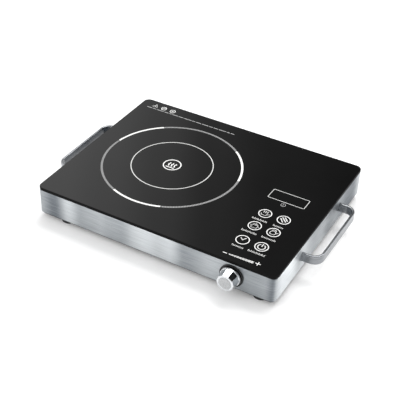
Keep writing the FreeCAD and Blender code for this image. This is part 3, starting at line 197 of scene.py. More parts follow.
def ripple(tree: Tree, value: Socket, rate: float, limit: float = 1.0) -> Socket:
    """A wave from nought to one along a value.

    Args:
        tree: The node tree.
        value: The value that the wave follows.
        rate: Radians of the wave for each unit of the value.
        limit: Where the sine is cut off; a low one gives flat-topped lines.

    Returns:
        The socket that carries the wave.
    """
    turns = add_node(tree, "ShaderNodeMath", {"operation": "MULTIPLY"}, {0: value, 1: rate})
    wave = add_node(tree, "ShaderNodeMath", {"operation": "SINE"}, {0: turns.outputs[0]})
    bounds = {"Value": wave.outputs[0], "From Min": -limit, "From Max": limit}
    return add_node(tree, "ShaderNodeMapRange", inputs=bounds).outputs[0]


def blend_colour(tree: Tree, share: Socket, first: object, second: object) -> Socket:
    """Mixes two colours by a share from nought to one.

    Args:
        tree: The node tree.
        share: How much of the second colour shows.
        first: The first colour, or a socket that carries it.
        second: The second colour, or a socket that carries it.

    Returns:
        The socket that carries the mixed colour.
    """
    mixed = add_node(tree, "ShaderNodeMix", {"data_type": "RGBA"}, {0: share, 6: first, 7: second})
    return mixed.outputs[2]


# ---------------------------------------------------------------- finishes


@dataclass(frozen=True)
class Finish:
    """What every finish has: a name, a main colour with a second shade, and a roughness.

    Its first colour and its shade are sRGB hex values, and a pattern mixes them.
    """

    name: str
    colour: str
    shade: str
    roughness: float
    metallic: float = 0.0
    ior: float = 1.5

    def material(self) -> bpy.types.Material:
        """Gives the finish's material, and makes it the first time."""
        known = bpy.data.materials.get(self.name)
        if known:
            return known
        made = bpy.data.materials.new(self.name)
        made.use_nodes = True
        tree = made.node_tree
        shader = tree.nodes["Principled BSDF"]
        shader.inputs["Metallic"].default_value = self.metallic
        if not self.metallic:
            shader.inputs["IOR"].default_value = self.ior
        place = add_node(tree, "ShaderNodeTexCoord").outputs["Object"]
        self.paint(tree, shader, place)
        return made

    def paint(self, tree: Tree, shader: Node, place: Socket) -> None:
        """Fills the shader; each kind of finish has its own way."""
        raise NotImplementedError(self.name)

    def tint(self, tree: Tree, shader: Node, share: Socket) -> None:
        """Links the base colour to a mix of the two shades.

        Args:
            tree: The node tree.
            shader: The surface shader.
            share: How much of the second shade shows.
        """
        mixed = blend_colour(tree, share, linear(self.colour), linear(self.shade))
        tree.links.new(mixed, shader.inputs["Base Color"])

    def patch_gloss(
        self,
        tree: Tree,
        shader: Node,
        place: Socket,
        size: float,
        spread: tuple[float, float] = (0.85, 1.2),
        stretch: Sequence[float] = (1, 1, 1),
    ) -> None:
        """Links the roughness to soft patches about the finish's own roughness.

        Args:
            tree: The node tree.
            shader: The surface shader.
            place: The coordinates that the patches lie on.
            size: Length of one patch in metres.
            spread: The smoothest and the roughest patch, as shares of the roughness.
            stretch: How much finer the patches are along each axis.
        """
        low, high = (self.roughness * share for share in spread)
        patches = mottle(tree, place, size, low, high, stretch)
        tree.links.new(patches, shader.inputs["Roughness"])

    def raise_relief(self, tree: Tree, shader: Node, height: Socket, depth: float) -> None:
        """Links the normal to a fine relief.

        Args:
            tree: The node tree.
            shader: The surface shader.
            height: The pattern from nought to one.
            depth: Its depth in metres.
        """
        relief = {"Height": height, "Distance": depth, "Strength": 1.0}
        bump = add_node(tree, "ShaderNodeBump", inputs=relief)
        tree.links.new(bump.outputs[0], shader.inputs["Normal"])


@dataclass(frozen=True)
class Moulded(Finish):
    """Moulded plastic, rubber or ceramic: a fine tool grain, a slow tone change and a patchy gloss."""

    grain: float = 0.9 * MM
    depth: float = 0.02 * MM
    blotch: float = 25 * MM

    def paint(self, tree: Tree, shader: Node, place: Socket) -> None:
        """Tone by blotches, gloss by smaller patches, relief by the tool's grain."""
        self.tint(tree, shader, mottle(tree, place, self.blotch, 0.0, 1.0))
        self.patch_gloss(tree, shader, place, self.blotch / 4, (0.85, 1.12))
        self.raise_relief(tree, shader, mottle(tree, place, self.grain, 0.0, 1.0), self.depth)


class Lay(Enum):
    """The way that the fine lines of a worked metal run, as the pattern's fineness along each axis."""

    LEVEL = (0.02, 0.02, 1.0)
    ALONG_X = (0.02, 1.0, 1.0)
    ALONG_Z = (1.0, 1.0, 0.02)


@dataclass(frozen=True)
class Brushed(Finish):
    """Belt-brushed or rolled metal: long fine scratches along one way, which spread a highlight.

    The stops along X and Y are in millimetres, and give the level of painted highlight and painted shade in
    the colour there.
    """

    metallic: float = 1.0
    lay: Lay = Lay.LEVEL
    pitch: float = 0.8 * MM
    depth: float = 0.006 * MM
    anisotropy: float = 0.0
    streak: float = 0.35
    drift: float = 0.4
    drift_length: float = 120 * MM
    drift_stretch: tuple[float, float, float] = (1.0, 1.0, 1.0)
    drift_shift: tuple[float, float, float] = (0.0, 0.0, 0.0)
    # Painted light: levels of painted highlight and painted shade in the colour, by place along X and along
    # Y.
    painted_light_x: Stops = ()
    painted_light_y: Stops = ()

    def paint(self, tree: Tree, shader: Node, place: Socket) -> None:
        """Scratches in tone, gloss and relief, with a broad drift of tone between them, and painted light and
        shade by place.
        """
        fine = mottle(tree, place, self.pitch, 0.0, self.streak, self.lay.value)
        # The broad drift is random tone; on the band it is stretched and shifted to stand as painted
        # reflection bands.
        slid = add_node(tree, "ShaderNodeMapping", inputs={"Vector": place, "Location": self.drift_shift})
        broad = mottle(tree, slid.outputs[0], self.drift_length, 0.0, self.drift, self.drift_stretch, 0.6)
        share = add_node(tree, "ShaderNodeMath", {"operation": "ADD"}, {0: fine, 1: broad}).outputs[0]
        run = add_node(tree, "ShaderNodeSeparateXYZ", inputs={0: place})
        # Adds painted highlight and painted shade by place along X and Y to the share of the dark shade.
        for way, stops in ((0, self.painted_light_x), (1, self.painted_light_y)):
            if stops:
                painted_light = graded(tree, run.outputs[way], [(at * MM, level) for at, level in stops], PAINTED_LIGHT_REACH)
                lift = add_node(tree, "ShaderNodeMath", {"operation": "SUBTRACT"}, {0: painted_light, 1: PAINTED_LIGHT_LEVEL})
                total = add_node(tree, "ShaderNodeMath", {"operation": "ADD"}, {0: share, 1: lift.outputs[0]})
                share = total.outputs[0]
        self.tint(tree, shader, share)
        self.patch_gloss(tree, shader, place, self.pitch * 2.6, (0.8, 1.25), self.lay.value)
        if self.anisotropy:
            shader.inputs["Anisotropic"].default_value = self.anisotropy
            shader.inputs["Anisotropic Rotation"].default_value = 0.25
            lines = add_node(tree, "ShaderNodeTangent", {"direction_type": "RADIAL", "axis": "Z"})
            tree.links.new(lines.outputs[0], shader.inputs["Tangent"])
        self.raise_relief(tree, shader, fine, self.depth)


@dataclass(frozen=True)
class Plated(Finish):
    """Plated metal: bright, with faint cloudy patches and a trace of handling."""

    metallic: float = 1.0
    cloud: float = 6 * MM
    depth: float = 0.002 * MM

    def paint(self, tree: Tree, shader: Node, place: Socket) -> None:
        """Clouds in tone and gloss over an almost smooth skin."""
        cloud = mottle(tree, place, self.cloud, 0.0, 1.0)
        self.tint(tree, shader, cloud)
        self.patch_gloss(tree, shader, place, self.cloud * 0.4, (0.7, 1.5))
        self.raise_relief(tree, shader, cloud, self.depth)


@dataclass(frozen=True)
class Ringed(Finish):
    """A face with circular lines about one axis: a turned disc or a flat wound coil."""

    centre: tuple[float, float, float] = (0.0, 0.0, 0.0)
    flatten: tuple[float, float, float] = (1.0, 1.0, 0.0)
    pitch: float = 0.5 * MM
    depth: float = 0.01 * MM
    anisotropy: float = 0.0

    def paint(self, tree: Tree, shader: Node, place: Socket) -> None:
        """Rings in tone and relief by the distance from the axis, with a patchy gloss."""
        shift = [-c * f for c, f in zip(self.centre, self.flatten)]
        laying = {"Vector": place, "Location": shift, "Scale": self.flatten}
        laid = add_node(tree, "ShaderNodeMapping", inputs=laying)
        reach = add_node(tree, "ShaderNodeVectorMath", {"operation": "LENGTH"}, {0: laid.outputs[0]})
        ridge = ripple(tree, reach.outputs["Value"], 2 * math.pi / self.pitch)
        uneven = mottle(tree, place, 2.5 * MM, 0.5, 1.0)
        share = add_node(tree, "ShaderNodeMath", {"operation": "MULTIPLY"}, {0: ridge, 1: uneven})
        self.tint(tree, shader, share.outputs[0])
        self.patch_gloss(tree, shader, place, 3 * MM)
        if self.anisotropy:
            shader.inputs["Anisotropic"].default_value = self.anisotropy
            lines = add_node(tree, "ShaderNodeTangent", {"direction_type": "RADIAL", "axis": "Y"})
            tree.links.new(lines.outputs[0], shader.inputs["Tangent"])
        self.raise_relief(tree, shader, ridge, self.depth)


@dataclass(frozen=True)
class Striped(Finish):
    """Parallel lines across one way: stacked laminations, ribbed extrusions, wound wire or ribbon cores."""

    way: tuple[float, float, float] = (0.0, 0.0, 1.0)
    pitch: float = 1.0 * MM
    depth: float = 0.05 * MM

    def paint(self, tree: Tree, shader: Node, place: Socket) -> None:
        """Stripes in tone and relief by the distance along one way."""
        along = add_node(tree, "ShaderNodeVectorMath", {"operation": "DOT_PRODUCT"}, {0: place, 1: self.way})
        ridge = ripple(tree, along.outputs["Value"], 2 * math.pi / self.pitch)
        uneven = mottle(tree, place, 4 * MM, 0.6, 1.0)
        share = add_node(tree, "ShaderNodeMath", {"operation": "MULTIPLY"}, {0: ridge, 1: uneven})
        self.tint(tree, shader, share.outputs[0])
        self.patch_gloss(tree, shader, place, 5 * MM)
        self.raise_relief(tree, shader, ridge, self.depth)


@dataclass(frozen=True)
class Flaked(Finish):
    """A field of cells: mica flakes, zinc spangle, or copper tracks under a board's green mask."""

    cell: float = 5 * MM
    edges_only: bool = False
    depth: float = 0.02 * MM

    def paint(self, tree: Tree, shader: Node, place: Socket) -> None:
        """Tone from each cell, or from the lines between cells."""
        feature = "DISTANCE_TO_EDGE" if self.edges_only else "F1"
        kind = {"feature": feature} if self.edges_only else {"feature": feature, "distance": "CHEBYCHEV"}
        cells = add_node(tree, "ShaderNodeTexVoronoi", kind, {"Vector": place, "Scale": 1 / self.cell})
        widest = 0.12 if self.edges_only else 0.7
        span = {"Value": cells.outputs["Distance"], "From Min": 0.02, "From Max": widest}
        share = add_node(tree, "ShaderNodeMapRange", inputs=span)
        self.tint(tree, shader, share.outputs[0])
        self.patch_gloss(tree, shader, place, self.cell, (0.8, 1.25))
        self.raise_relief(tree, shader, share.outputs[0], self.depth)


@dataclass(frozen=True)
class CeramicGlass(Finish):
    """Polished black ceramic glass: a deep body colour under a clear even gloss with faint wipe marks."""

    def paint(self, tree: Tree, shader: Node, place: Socket) -> None:
        """A nearly black body, and gloss that changes a little where a cloth has passed."""
        self.tint(tree, shader, mottle(tree, place, 60 * MM, 0.0, 1.0))
        self.patch_gloss(tree, shader, place, 45 * MM, (0.7, 1.3), (1.0, 0.35, 1.0))
        self.raise_relief(tree, shader, mottle(tree, place, 90 * MM, 0.0, 1.0), 0.004 * MM)


class Hatch(Enum):
    """How a printed mark is filled."""

    SOLID = "solid"
    RADIAL = "radial"
    SLANTED = "slanted"


@dataclass(frozen=True)
class Printed(Finish):
    """Screen-printed ceramic ink fired onto the glass: matt, with the screen's faint dots."""

    hatch: Hatch = Hatch.SOLID
    centre: tuple[float, float, float] = (0.0, 0.0, 0.0)
    lines: float = 150.0
    line_sharpness: float = 0.35

    def paint(self, tree: Tree, shader: Node, place: Socket) -> None:
        """Ink density from the screen's dots, or from the mark's own hatch lines."""
        shader.inputs["Roughness"].default_value = self.roughness
        if self.hatch is Hatch.SOLID:
            self.tint(tree, shader, mottle(tree, place, 1.6 * MM, 0.0, 1.0))
            return
        shift = [-c for c in self.centre]
        laid = add_node(tree, "ShaderNodeMapping", inputs={"Vector": place, "Location": shift})
        parts = add_node(tree, "ShaderNodeSeparateXYZ", inputs={0: laid.outputs[0]})
        operation = "ARCTAN2" if self.hatch is Hatch.RADIAL else "ADD"
        measure = add_node(
            tree, "ShaderNodeMath", {"operation": operation}, {0: parts.outputs[1], 1: parts.outputs[0]}
        )
        self.tint(tree, shader, ripple(tree, measure.outputs[0], self.lines, self.line_sharpness))


# Black lithium-aluminosilicate glass, rolled and polished: mirror-like at low angles, black in depth.
CERAMIC_GLASS = CeramicGlass("polished_ceramic_glass", "#030303", "#060606", 0.05, ior=1.52)
# The same glass ground at its rim and stained black: no mirror, a dead dark line.
GROUND_EDGE = Moulded(
    "ground_black_glass_edge", "#040404", "#070707", 0.55, ior=1.18, grain=0.6 * MM, depth=0.004 * MM,
    blotch=12 * MM,
)
# White ceramic ink: reads as clean white lines with no gloss of their own.
WHITE_INK = Printed("fired_white_ink", "#f6f6f4", "#e4e4e2", 0.5)
# The ink through a finer screen: the signs inside the keys are a little softer than their rings.
PALE_INK = Printed("fired_pale_ink", "#dcdcda", "#c8c8c6", 0.5)
# The same ink on a thinner screen: small lettering-sized marks look greyer.
GREY_INK = Printed("fired_grey_ink", "#a8a8a8", "#8e8e8e", 0.5)
# Brushed 430 stainless strip, belt-polished along its length: soft level streaks, with painted reflection in
# its colour:
# shifted light and dark stretches along the front, and painted highlight and painted shade by place along X
# and Y.
BRUSHED_STEEL = Brushed(
    "belt_brushed_stainless", "#e6eaec", "#5c6269", 0.34, pitch=0.7 * MM, depth=0.003 * MM,
    anisotropy=0.9, streak=0.22, drift=0.25, drift_length=40 * MM, drift_stretch=(1.0, 1.0, 0.1),
    # Shifts the drift so that its light and dark stretches fall as painted reflection bands along the front.
    drift_shift=(-57 * MM, 0.0, 0.0),
    # Painted highlight and painted shade by place: the front wall, the front-right corner, and the side walls
    # lighter at the front and darker at the rear.
    painted_light_x=(
        (-180, 0.8), (-152, 0.86), (-132, 0.42), (-108, 0.82), (-60, 0.7), (-10, 0.4), (28, 0.4),
        (50, 0.7), (90, 0.68), (135, 0.8), (165, 0.8), (176, 1.0), (180, 0.5),
    ),
    painted_light_y=(
        (-139, 0.38), (-130, 0.36), (-112, 0.04), (-90, 0.05), (-20, 0.35), (40, 0.65), (110, 0.95),
        (139, 0.4),
    ),
)
# Stainless flat bar, satin polished and bent: darker and smoother than the band.
SATIN_STEEL = Brushed(
    "satin_stainless_bar", "#abadb0", "#6f7276", 0.24, pitch=0.9 * MM, depth=0.003 * MM, streak=0.5
)
# Bright nickel-chrome on moulded plastic: sharp dark and white facets.
CHROME = Plated("bright_chrome_plating", "#dcdee0", "#cfd1d4", 0.06)
# Acrylonitrile-styrene moulded in a polished tool: black, glossy, with the faintest ripple.
BEZEL_PLASTIC = Moulded(
    "moulded_gloss_black_bezel", "#0c0d0e", "#141516", 0.24, grain=2 * MM, depth=0.002 * MM, blotch=6 * MM
)


# ---------------------------------------------------------------- the bench: one mesh and its operators


class Element(Enum):
    """What a selection is made of, with the collection's name in an edit mesh."""

    EDGE = "edges"
    FACE = "faces"


def middle(item: bmesh.types.BMEdge | bmesh.types.BMFace) -> Vector:
    """The middle of an edge or a face."""
    return sum((v.co for v in item.verts), Vector()) / len(item.verts)


def is_fold(edge: bmesh.types.BMEdge, axis: Vector, height: float) -> bool:
    """Tells whether an edge joins a wall to a flat face that stands at a height along an axis."""
    if abs(middle(edge).dot(axis) - height) > TOUCH or len(edge.link_faces) != 2:
        return False
    slopes = sorted(abs(f.normal.dot(axis)) for f in edge.link_faces)
    return slopes[0] < STEEP and slopes[1] > ALIGNED


def runs_along(edge: bmesh.types.BMEdge, axis: Vector) -> bool:
    """Tells whether an edge runs along one of the frame's axes."""
    return abs((edge.verts[0].co - edge.verts[1].co).normalized().dot(axis)) > ALIGNED


def node_middle(node: str) -> Vector:
    """The middle of a CAD node's box at rest."""
    low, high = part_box(node)
    return (low + high) / 2


class Piece:
    """One mesh on the bench, shaped by edit operators and then handed to the frame."""

    def __init__(self, name: str) -> None:
        """Takes the primitive that was just added and settles its place into its mesh."""
        self.body: bpy.types.Object = bpy.context.active_object
        self.body.name = name
        self.body.data.name = name
        bpy.ops.object.transform_apply(location=True, rotation=True, scale=True)

    @property
    def name(self) -> str:
        """The piece's name."""
        return self.body.name

    @staticmethod
    def clear_selection() -> None:
        """Deselects everything, so that an operator reaches only what is chosen next."""
        bpy.ops.object.select_all(action="DESELECT")

    @staticmethod
    def choose(body: bpy.types.Object) -> None:
        """Selects one object alone and makes it the active one."""
        Piece.clear_selection()
        body.select_set(True)
        bpy.context.view_layer.objects.active = body

    @classmethod
    def block(cls, name: str, low: Vector, high: Vector) -> "Piece":
        """Starts a piece from a block between two corners."""
        cls.clear_selection()
        size = Vector(high) - Vector(low)
        place = (Vector(high) + Vector(low)) / 2
        bpy.ops.mesh.primitive_cube_add(size=1, location=place, scale=size)
        return cls(name)

    @classmethod
    def turned(
        cls, name: str, foot: Vector, axis: Vector, profile: Sequence[tuple[float, float]], sides: int = 96
    ) -> "Piece":
        """Turns a profile about an axis, ring by ring.

        Args:
            name: The piece's name.
            foot: A point on the axis where the profile's distance is nought.
            axis: One of the frame's axes, as a unit vector.
            profile: Radius and distance along the axis for each ring. A profile that ends where it starts
                is closed on itself, and any other gets a flat face at each end.
            sides: Points on each ring.

        Returns:
            The turned piece, with its faces outwards.
        """
        cls.clear_selection()
        turn = axis.to_track_quat("Z", "Y").to_euler()
        radius, along = profile[0]
        bpy.ops.mesh.primitive_circle_add(
            vertices=sides, radius=radius, fill_type="NOTHING", location=foot + axis * along, rotation=turn
        )
        piece = cls(name)
        with piece.editing():
            for next_radius, next_along in profile[1:]:
                bpy.ops.mesh.extrude_edges_move(
                    TRANSFORM_OT_translate={"value": axis * (next_along - along)}
                )
                growth = next_radius / radius
                bpy.ops.transform.resize(
                    value=[1.0 if abs(part) > 0.5 else growth for part in axis],
                    center_override=foot + axis * next_along,
                )
                radius, along = next_radius, next_along
            bpy.ops.mesh.select_all(action="SELECT")
            if tuple(profile[0]) == tuple(profile[-1]):
                bpy.ops.mesh.remove_doubles(threshold=TOUCH)
            else:
                bpy.ops.mesh.fill_holes(sides=0)
            bpy.ops.mesh.normals_make_consistent(inside=False)
        return piece

    @contextmanager
    def editing(self) -> Iterator[None]:
        """Holds the piece in edit mode, alone."""
        self.choose(self.body)
        bpy.ops.object.mode_set(mode="EDIT")
        yield
        bpy.ops.object.mode_set(mode="OBJECT")

    def pick(self, element: Element, test: Callable[[object], bool]) -> None:
        """Selects what passes a test, and nothing else, in edit mode.

        Args:
            element: Edges or faces.
            test: Tells whether one of them is wanted.
        """
        bpy.ops.mesh.select_mode(type=element.name)
        bpy.ops.mesh.select_all(action="DESELECT")
        mesh = bmesh.from_edit_mesh(self.body.data)
        mesh.normal_update()
        for item in getattr(mesh, element.value):
            if test(item):
                item.select_set(True)
        mesh.select_flush_mode()
        bmesh.update_edit_mesh(self.body.data)

    def bevel(self, test: Callable[[object], bool], width: float, segments: int) -> None:
        """Rounds the edges that pass a test."""
        with self.editing():
            self.pick(Element.EDGE, test)
            bpy.ops.mesh.bevel(offset=width, segments=segments, affect="EDGES", clamp_overlap=True)

    def finish_modifier(self, kind: str, **settings: object) -> None:
        """Adds one modifier and applies it.

        Args:
            kind: Blender's name for the modifier type.
            settings: Property values of the modifier.
        """
        self.choose(self.body)
        modifier = self.body.modifiers.new(kind.lower(), kind)
        for name, value in settings.items():
            setattr(modifier, name, value)
        bpy.ops.object.modifier_apply(modifier=modifier.name)

    def combine(self, other: "Piece", operation: str) -> None:
        """Adds another piece to this one, or cuts it away, and removes it."""
        self.finish_modifier("BOOLEAN", object=other.body, operation=operation, solver="EXACT")
        bpy.data.objects.remove(other.body, do_unlink=True)

    def join(self, others: Sequence["Piece"]) -> None:
        """Takes other pieces into this mesh."""
        self.choose(self.body)
        for piece in others:
            piece.body.select_set(True)
        bpy.ops.object.join()

    def copy(self, name: str, step: Vector | None = None) -> "Piece":
        """Copies the piece with its own mesh, and moves the copy by a step."""
        self.choose(self.body)
        bpy.ops.object.duplicate(linked=False)
        copied = Piece(name)
        if step:
            copied.shift(step)
        return copied

    def shift(self, step: Vector) -> None:
        """Moves the whole mesh."""
        with self.editing():
            bpy.ops.mesh.select_all(action="SELECT")
            bpy.ops.transform.translate(value=step)

    def turn(self, angle: float, axis: str, centre: Vector) -> None:
        """Turns the whole mesh about one of the frame's axes, named by its letter."""
        with self.editing():
            bpy.ops.mesh.select_all(action="SELECT")
            bpy.ops.transform.rotate(value=angle, orient_axis=axis, center_override=centre)

    def mirror_across(self) -> None:
        """Mirrors the whole mesh from the right side to the left."""
        with self.editing():
            bpy.ops.mesh.select_all(action="SELECT")
            bpy.ops.transform.resize(value=(-1, 1, 1), center_override=(0, 0, 0))
            bpy.ops.mesh.normals_make_consistent(inside=False)

    def settle(self, finish: Finish, body: str, slot: str, stands_for: Sequence[str] = ()) -> None:
        """Smooths and dresses the piece and hands it to the frame.

        Args:
            finish: What the surface is made of.
            body: The CAD body that it moves with.
            slot: The record's material slot; not used.
            stands_for: The CAD nodes that it is shown instead of.
        """
        self.choose(self.body)
        bpy.ops.object.shade_smooth_by_angle(angle=SMOOTH_ANGLE)
        self.finish_modifier("WEIGHTED_NORMAL", keep_sharp=True, weight=NORMAL_WEIGHT)
        self.body.data.materials.clear()
        self.body.data.materials.append(finish.material())
        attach(self.body, body)
        if stands_for:
            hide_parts(*stands_for)
        LOG.info("%s: %d faces, %s", self.name, len(self.body.data.polygons), finish.name)

    def dress_part(self, finish: Finish, test: Callable[[bpy.types.MeshPolygon], bool]) -> None:
        """Gives some faces a second finish.

        Args:
            finish: What those faces are made of.
            test: Tells whether a face gets it.
        """
        self.body.data.materials.append(finish.material())
        for face in self.body.data.polygons:
            if test(face):
                face.material_index = len(self.body.data.materials) - 1


# ---------------------------------------------------------------- the glass and its print


@dataclass
class GlassPlate:
    """The black plate: rounded corners, a polished top edge and a small lower arris."""

    corner: float = 9 * MM
    top_arris: float = 0.8 * MM
    lower_arris: float = 0.4 * MM

    def build(self) -> None:
        """Makes the plate a print's thickness lower than the CAD plate, so that the print ends flush."""
        low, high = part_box("glass_top")
        high = high - UP * PRINT_THICKNESS
        plate = Piece.block("glass_plate", low, high)
        plate.bevel(lambda e: runs_along(e, UP), self.corner, 14)
        plate.bevel(lambda e: is_fold(e, UP, high.z), self.top_arris, 4)
        plate.bevel(lambda e: is_fold(e, UP, low.z), self.lower_arris, 2)
        plate.settle(CERAMIC_GLASS, "cooktop", SLOT_OF["glass_top"], ["glass_top"])
        plate.dress_part(GROUND_EDGE, lambda face: face.normal.z < TOP_FACING)


@dataclass(frozen=True)
class Stroke:
    """One printed line in millimetres from the plate's middle, with its width at both ends."""

    points: Sequence[tuple[float, float]]
    width: float = 1.1
    end_width: float | None = None
    closed: bool = False


def arc(
    x: float,
    y: float,
    radius: float,
    start: float,
    end: float,
    steps: int = 24,
) -> list[tuple[float, float]]:
    """Points along a circular arc.

    Args:
        x: The centre, to the right.
        y: The centre, away from the user.
        radius: The radius.
        start: The first angle in degrees, from the right, turning left.
        end: The last angle in degrees.
        steps: How many parts the arc has.

    Returns:
        The points, from the first angle to the last.
    """
    angles = [math.radians(start + (end - start) * i / steps) for i in range(steps + 1)]
    return [(x + radius * math.cos(a), y + radius * math.sin(a)) for a in angles]


def ring(x: float, y: float, radius: float, width: float) -> Stroke:
    """A whole printed circle."""
    return Stroke(arc(x, y, radius, 0, 360, 96)[:-1], width, closed=True)


def dashes(
    start: tuple[float, float],
    lengths: Sequence[float],
    width: float,
    gap: float = 1.7,
) -> list[Stroke]:
    """A plain row of bars where a line of small print would be.

    Args:
        start: Where the row begins.
        lengths: The bars' lengths, from left to right.
        width: The bars' height.
        gap: The space between two bars.

    Returns:
        One stroke for each bar.
    """
    x, y = start
    row = []
    for length in lengths:
        row.append(Stroke([(x, y), (x + length, y)], width))
        x += length + gap
    return row


def ticks(
    start: tuple[float, float],
    count: int,
    tall_every: int,
    rises: tuple[float, float] = (3.6, 2.5),
    drop: float = 1.8,
    pitch: float = 1.85,
) -> list[Stroke]:
    """A plain row of short upright ticks on one base line, where a word of print would be.

    Args:
        start: The middle of the first tick's place.
        count: How many ticks the row has.
        tall_every: Every such tick stands taller.
        rises: The height of a tall tick and of a short one.
        drop: How far the base line is below the start.
        pitch: From one tick to the next.

    Returns:
        One stroke for each tick.
    """
    x, foot = start[0], start[1] - drop
    row = []
    for i in range(count):
        rise = rises[0] if i % tall_every == 0 else rises[1]
        row.append(Stroke([(x + pitch * i, foot), (x + pitch * i, foot + rise)], 0.85))
    return row


@dataclass
class Legend:
    """Everything printed on the glass: the cooking zone, the keys, the power scale and the notes."""

    zone_centre: tuple[float, float] = (-51.5, 1.5)
    zone_radius: float = 98.5
    zone_band: float = 3.0
    inner_radius: float = 57.7
    bold_arc: float = 44.0
    key_columns: tuple[float, float] = (110.5, 137.4)
    key_rows: tuple[float, float, float] = (-30.5, -60.8, -94.5)
    key_radius: float = 8.6
    line: float = 0.9
    wedge_pitch: float = 2.2 * MM

    def print_marks(self, name: str, strokes: Sequence[Stroke], ink: Finish) -> None:
        """Makes one printed piece from strokes: round tubes pressed flat onto the glass.

        Args:
            name: The piece's name.
            strokes: The lines of the mark.
            ink: What it is printed in.
        """
        low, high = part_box("glass_top")
        middle_y = (low.y + high.y) / 2
        level = high.z - PRINT_THICKNESS
        curve = bpy.data.curves.new(name, "CURVE")
        curve.dimensions = "3D"
        curve.bevel_depth = 0.5 * MM
        curve.bevel_resolution = 1
        curve.use_fill_caps = True
        for stroke in strokes:
            spline = curve.splines.new("POLY")
            spline.points.add(len(stroke.points) - 1)
            spline.use_cyclic_u = stroke.closed
            last = max(len(stroke.points) - 1, 1)
            end_width = stroke.width if stroke.end_width is None else stroke.end_width
            for i, (x, y) in enumerate(stroke.points):
                spline.points[i].co = (x * MM, middle_y + y * MM, level, 1.0)
                spline.points[i].radius = stroke.width + (end_width - stroke.width) * i / last
        holder = bpy.data.objects.new(name, curve)
        bpy.context.scene.collection.objects.link(holder)
        Piece.choose(holder)
        bpy.ops.object.convert(target="MESH")
        marks = Piece(name)
        tallest = max(v.co.z for v in marks.body.data.vertices) - level
        with marks.editing():
            bpy.ops.mesh.select_all(action="SELECT")
            bpy.ops.transform.resize(
                value=(1, 1, 0.98 * PRINT_THICKNESS / tallest), center_override=(0, middle_y, level)
            )
        marks.settle(ink, "cooktop", SLOT_OF["glass_top"])

    def zone(self) -> None:
        """Prints the cooking zone: a hatched ring with three bold arcs, a fine ring and a centre mark."""
        x, y = self.zone_centre
        low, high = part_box("glass_top")
        middle_y = (low.y + high.y) / 2
        hatched = Printed(
            "hatched_grey_ink",
            "#9c9c9c",
            "#5c5c5c",
            0.5,
            hatch=Hatch.RADIAL,
            centre=(x * MM, middle_y + y * MM, high.z),
            lines=300.0,
        )
        half = self.bold_arc / 2
        bold = [
            Stroke(arc(x, y, self.zone_radius, turn - half, turn + half), self.zone_band)
            for turn in (30, 150, 270)
        ]
        start, end = half + 0.6, 120 - half - 0.6
        fine = [
            Stroke(arc(x, y, self.zone_radius, turn + start, turn + end, 48), self.zone_band)
            for turn in (30, 150, 270)
        ]
        self.print_marks("zone_hatched_ring", fine, hatched)
        self.print_marks("zone_bold_arcs", bold, WHITE_INK)
        self.print_marks("zone_inner_ring", [ring(x, y, self.inner_radius, 1.3)], PALE_INK)
        heat = [
            Stroke([(x + dx + 0.9 * math.sin(t * 1.6), y - 4.2 + 1.4 * t) for t in range(7)], 1.6)
            for dx in (-4.6, 0.0, 4.6)
        ]
        base = Stroke([(x - 6.6, y - 6.9), (x + 6.6, y - 6.9)], 1.6)
        self.print_marks("zone_centre_mark", [ring(x, y, 12.4, 1.6), base, *heat], WHITE_INK)

    def pan_mark(self, x: float, y: float) -> list[Stroke]:
        """A frying pan with steam."""
        body = Stroke([(x - 5, y - 0.6), (x - 4.3, y - 4), (x + 2.4, y - 4), (x + 3.1, y - 0.6)], self.line)
        handle = Stroke([(x + 2.9, y - 1.6), (x + 6.6, y + 0.2)], self.line)
        steam = [
            Stroke([(at, y + 1.2), (at + 0.9, y + 2.6), (at, y + 4), (at + 0.9, y + 5.4)], 1.0)
            for at in (x - 3.6, x - 0.9, x + 1.8)
        ]
        return [body, handle, *steam]

    def grill_mark(self, x: float, y: float) -> list[Stroke]:
        """Three slanted bars."""
        starts = ((-5.2, 2.0), (-3.6, 4.6), (-0.6, 6.0))
        ends = ((0.8, -5.4), (4.4, -3.4), (5.6, -0.6))
        return [
            Stroke([(x + a, y + b), (x + c, y + d)], 1.6) for (a, b), (c, d) in zip(starts, ends)
        ]

    def pot_mark(self, x: float, y: float) -> list[Stroke]:
        """A lidded pot with two handles."""
        sides = [(x - 4, y + 1.4), (x - 4, y - 4.4), (x + 4, y - 4.4), (x + 4, y + 1.4)]
        body = Stroke(sides, self.line, closed=True)
        lid = Stroke([(x - 3.4, y + 3.2), (x + 3.4, y + 3.2)], self.line)
        grip = Stroke([(x - 0.9, y + 5.2), (x + 0.9, y + 5.2)], self.line)
        ears = [Stroke([(x + s * 4.6, y - 0.6), (x + s * 6.2, y - 0.6)], self.line) for s in (-1, 1)]
        return [body, lid, grip, *ears]

    def kettle_mark(self, x: float, y: float) -> list[Stroke]:
        """A round kettle with a spout and a loop."""
        belly = Stroke(arc(x - 0.4, y - 1.2, 3.9, -50, 230), self.line)
        foot = Stroke([(x - 3.0, y - 4.4), (x + 2.2, y - 4.4)], self.line)
        spout = Stroke([(x + 3.6, y - 1.4), (x + 6.0, y + 1.6)], self.line)
        loop = Stroke(arc(x - 0.4, y + 2.4, 3.0, 10, 170, 12), 1.0)
        return [belly, foot, spout, loop]

    def clock_mark(self, x: float, y: float) -> list[Stroke]:
        """Two clock hands."""
        return [Stroke([(x - 4.0, y + 3.2), (x, y - 0.4), (x + 2.8, y + 5.4)], 1.5)]

    def power_mark(self, x: float, y: float) -> list[Stroke]:
        """A broken ring with a bar at its gap."""
        return [Stroke(arc(x, y - 0.4, 4.9, 118, 422), 1.4), Stroke([(x, y + 0.2), (x, y + 6.2)], 1.5)]

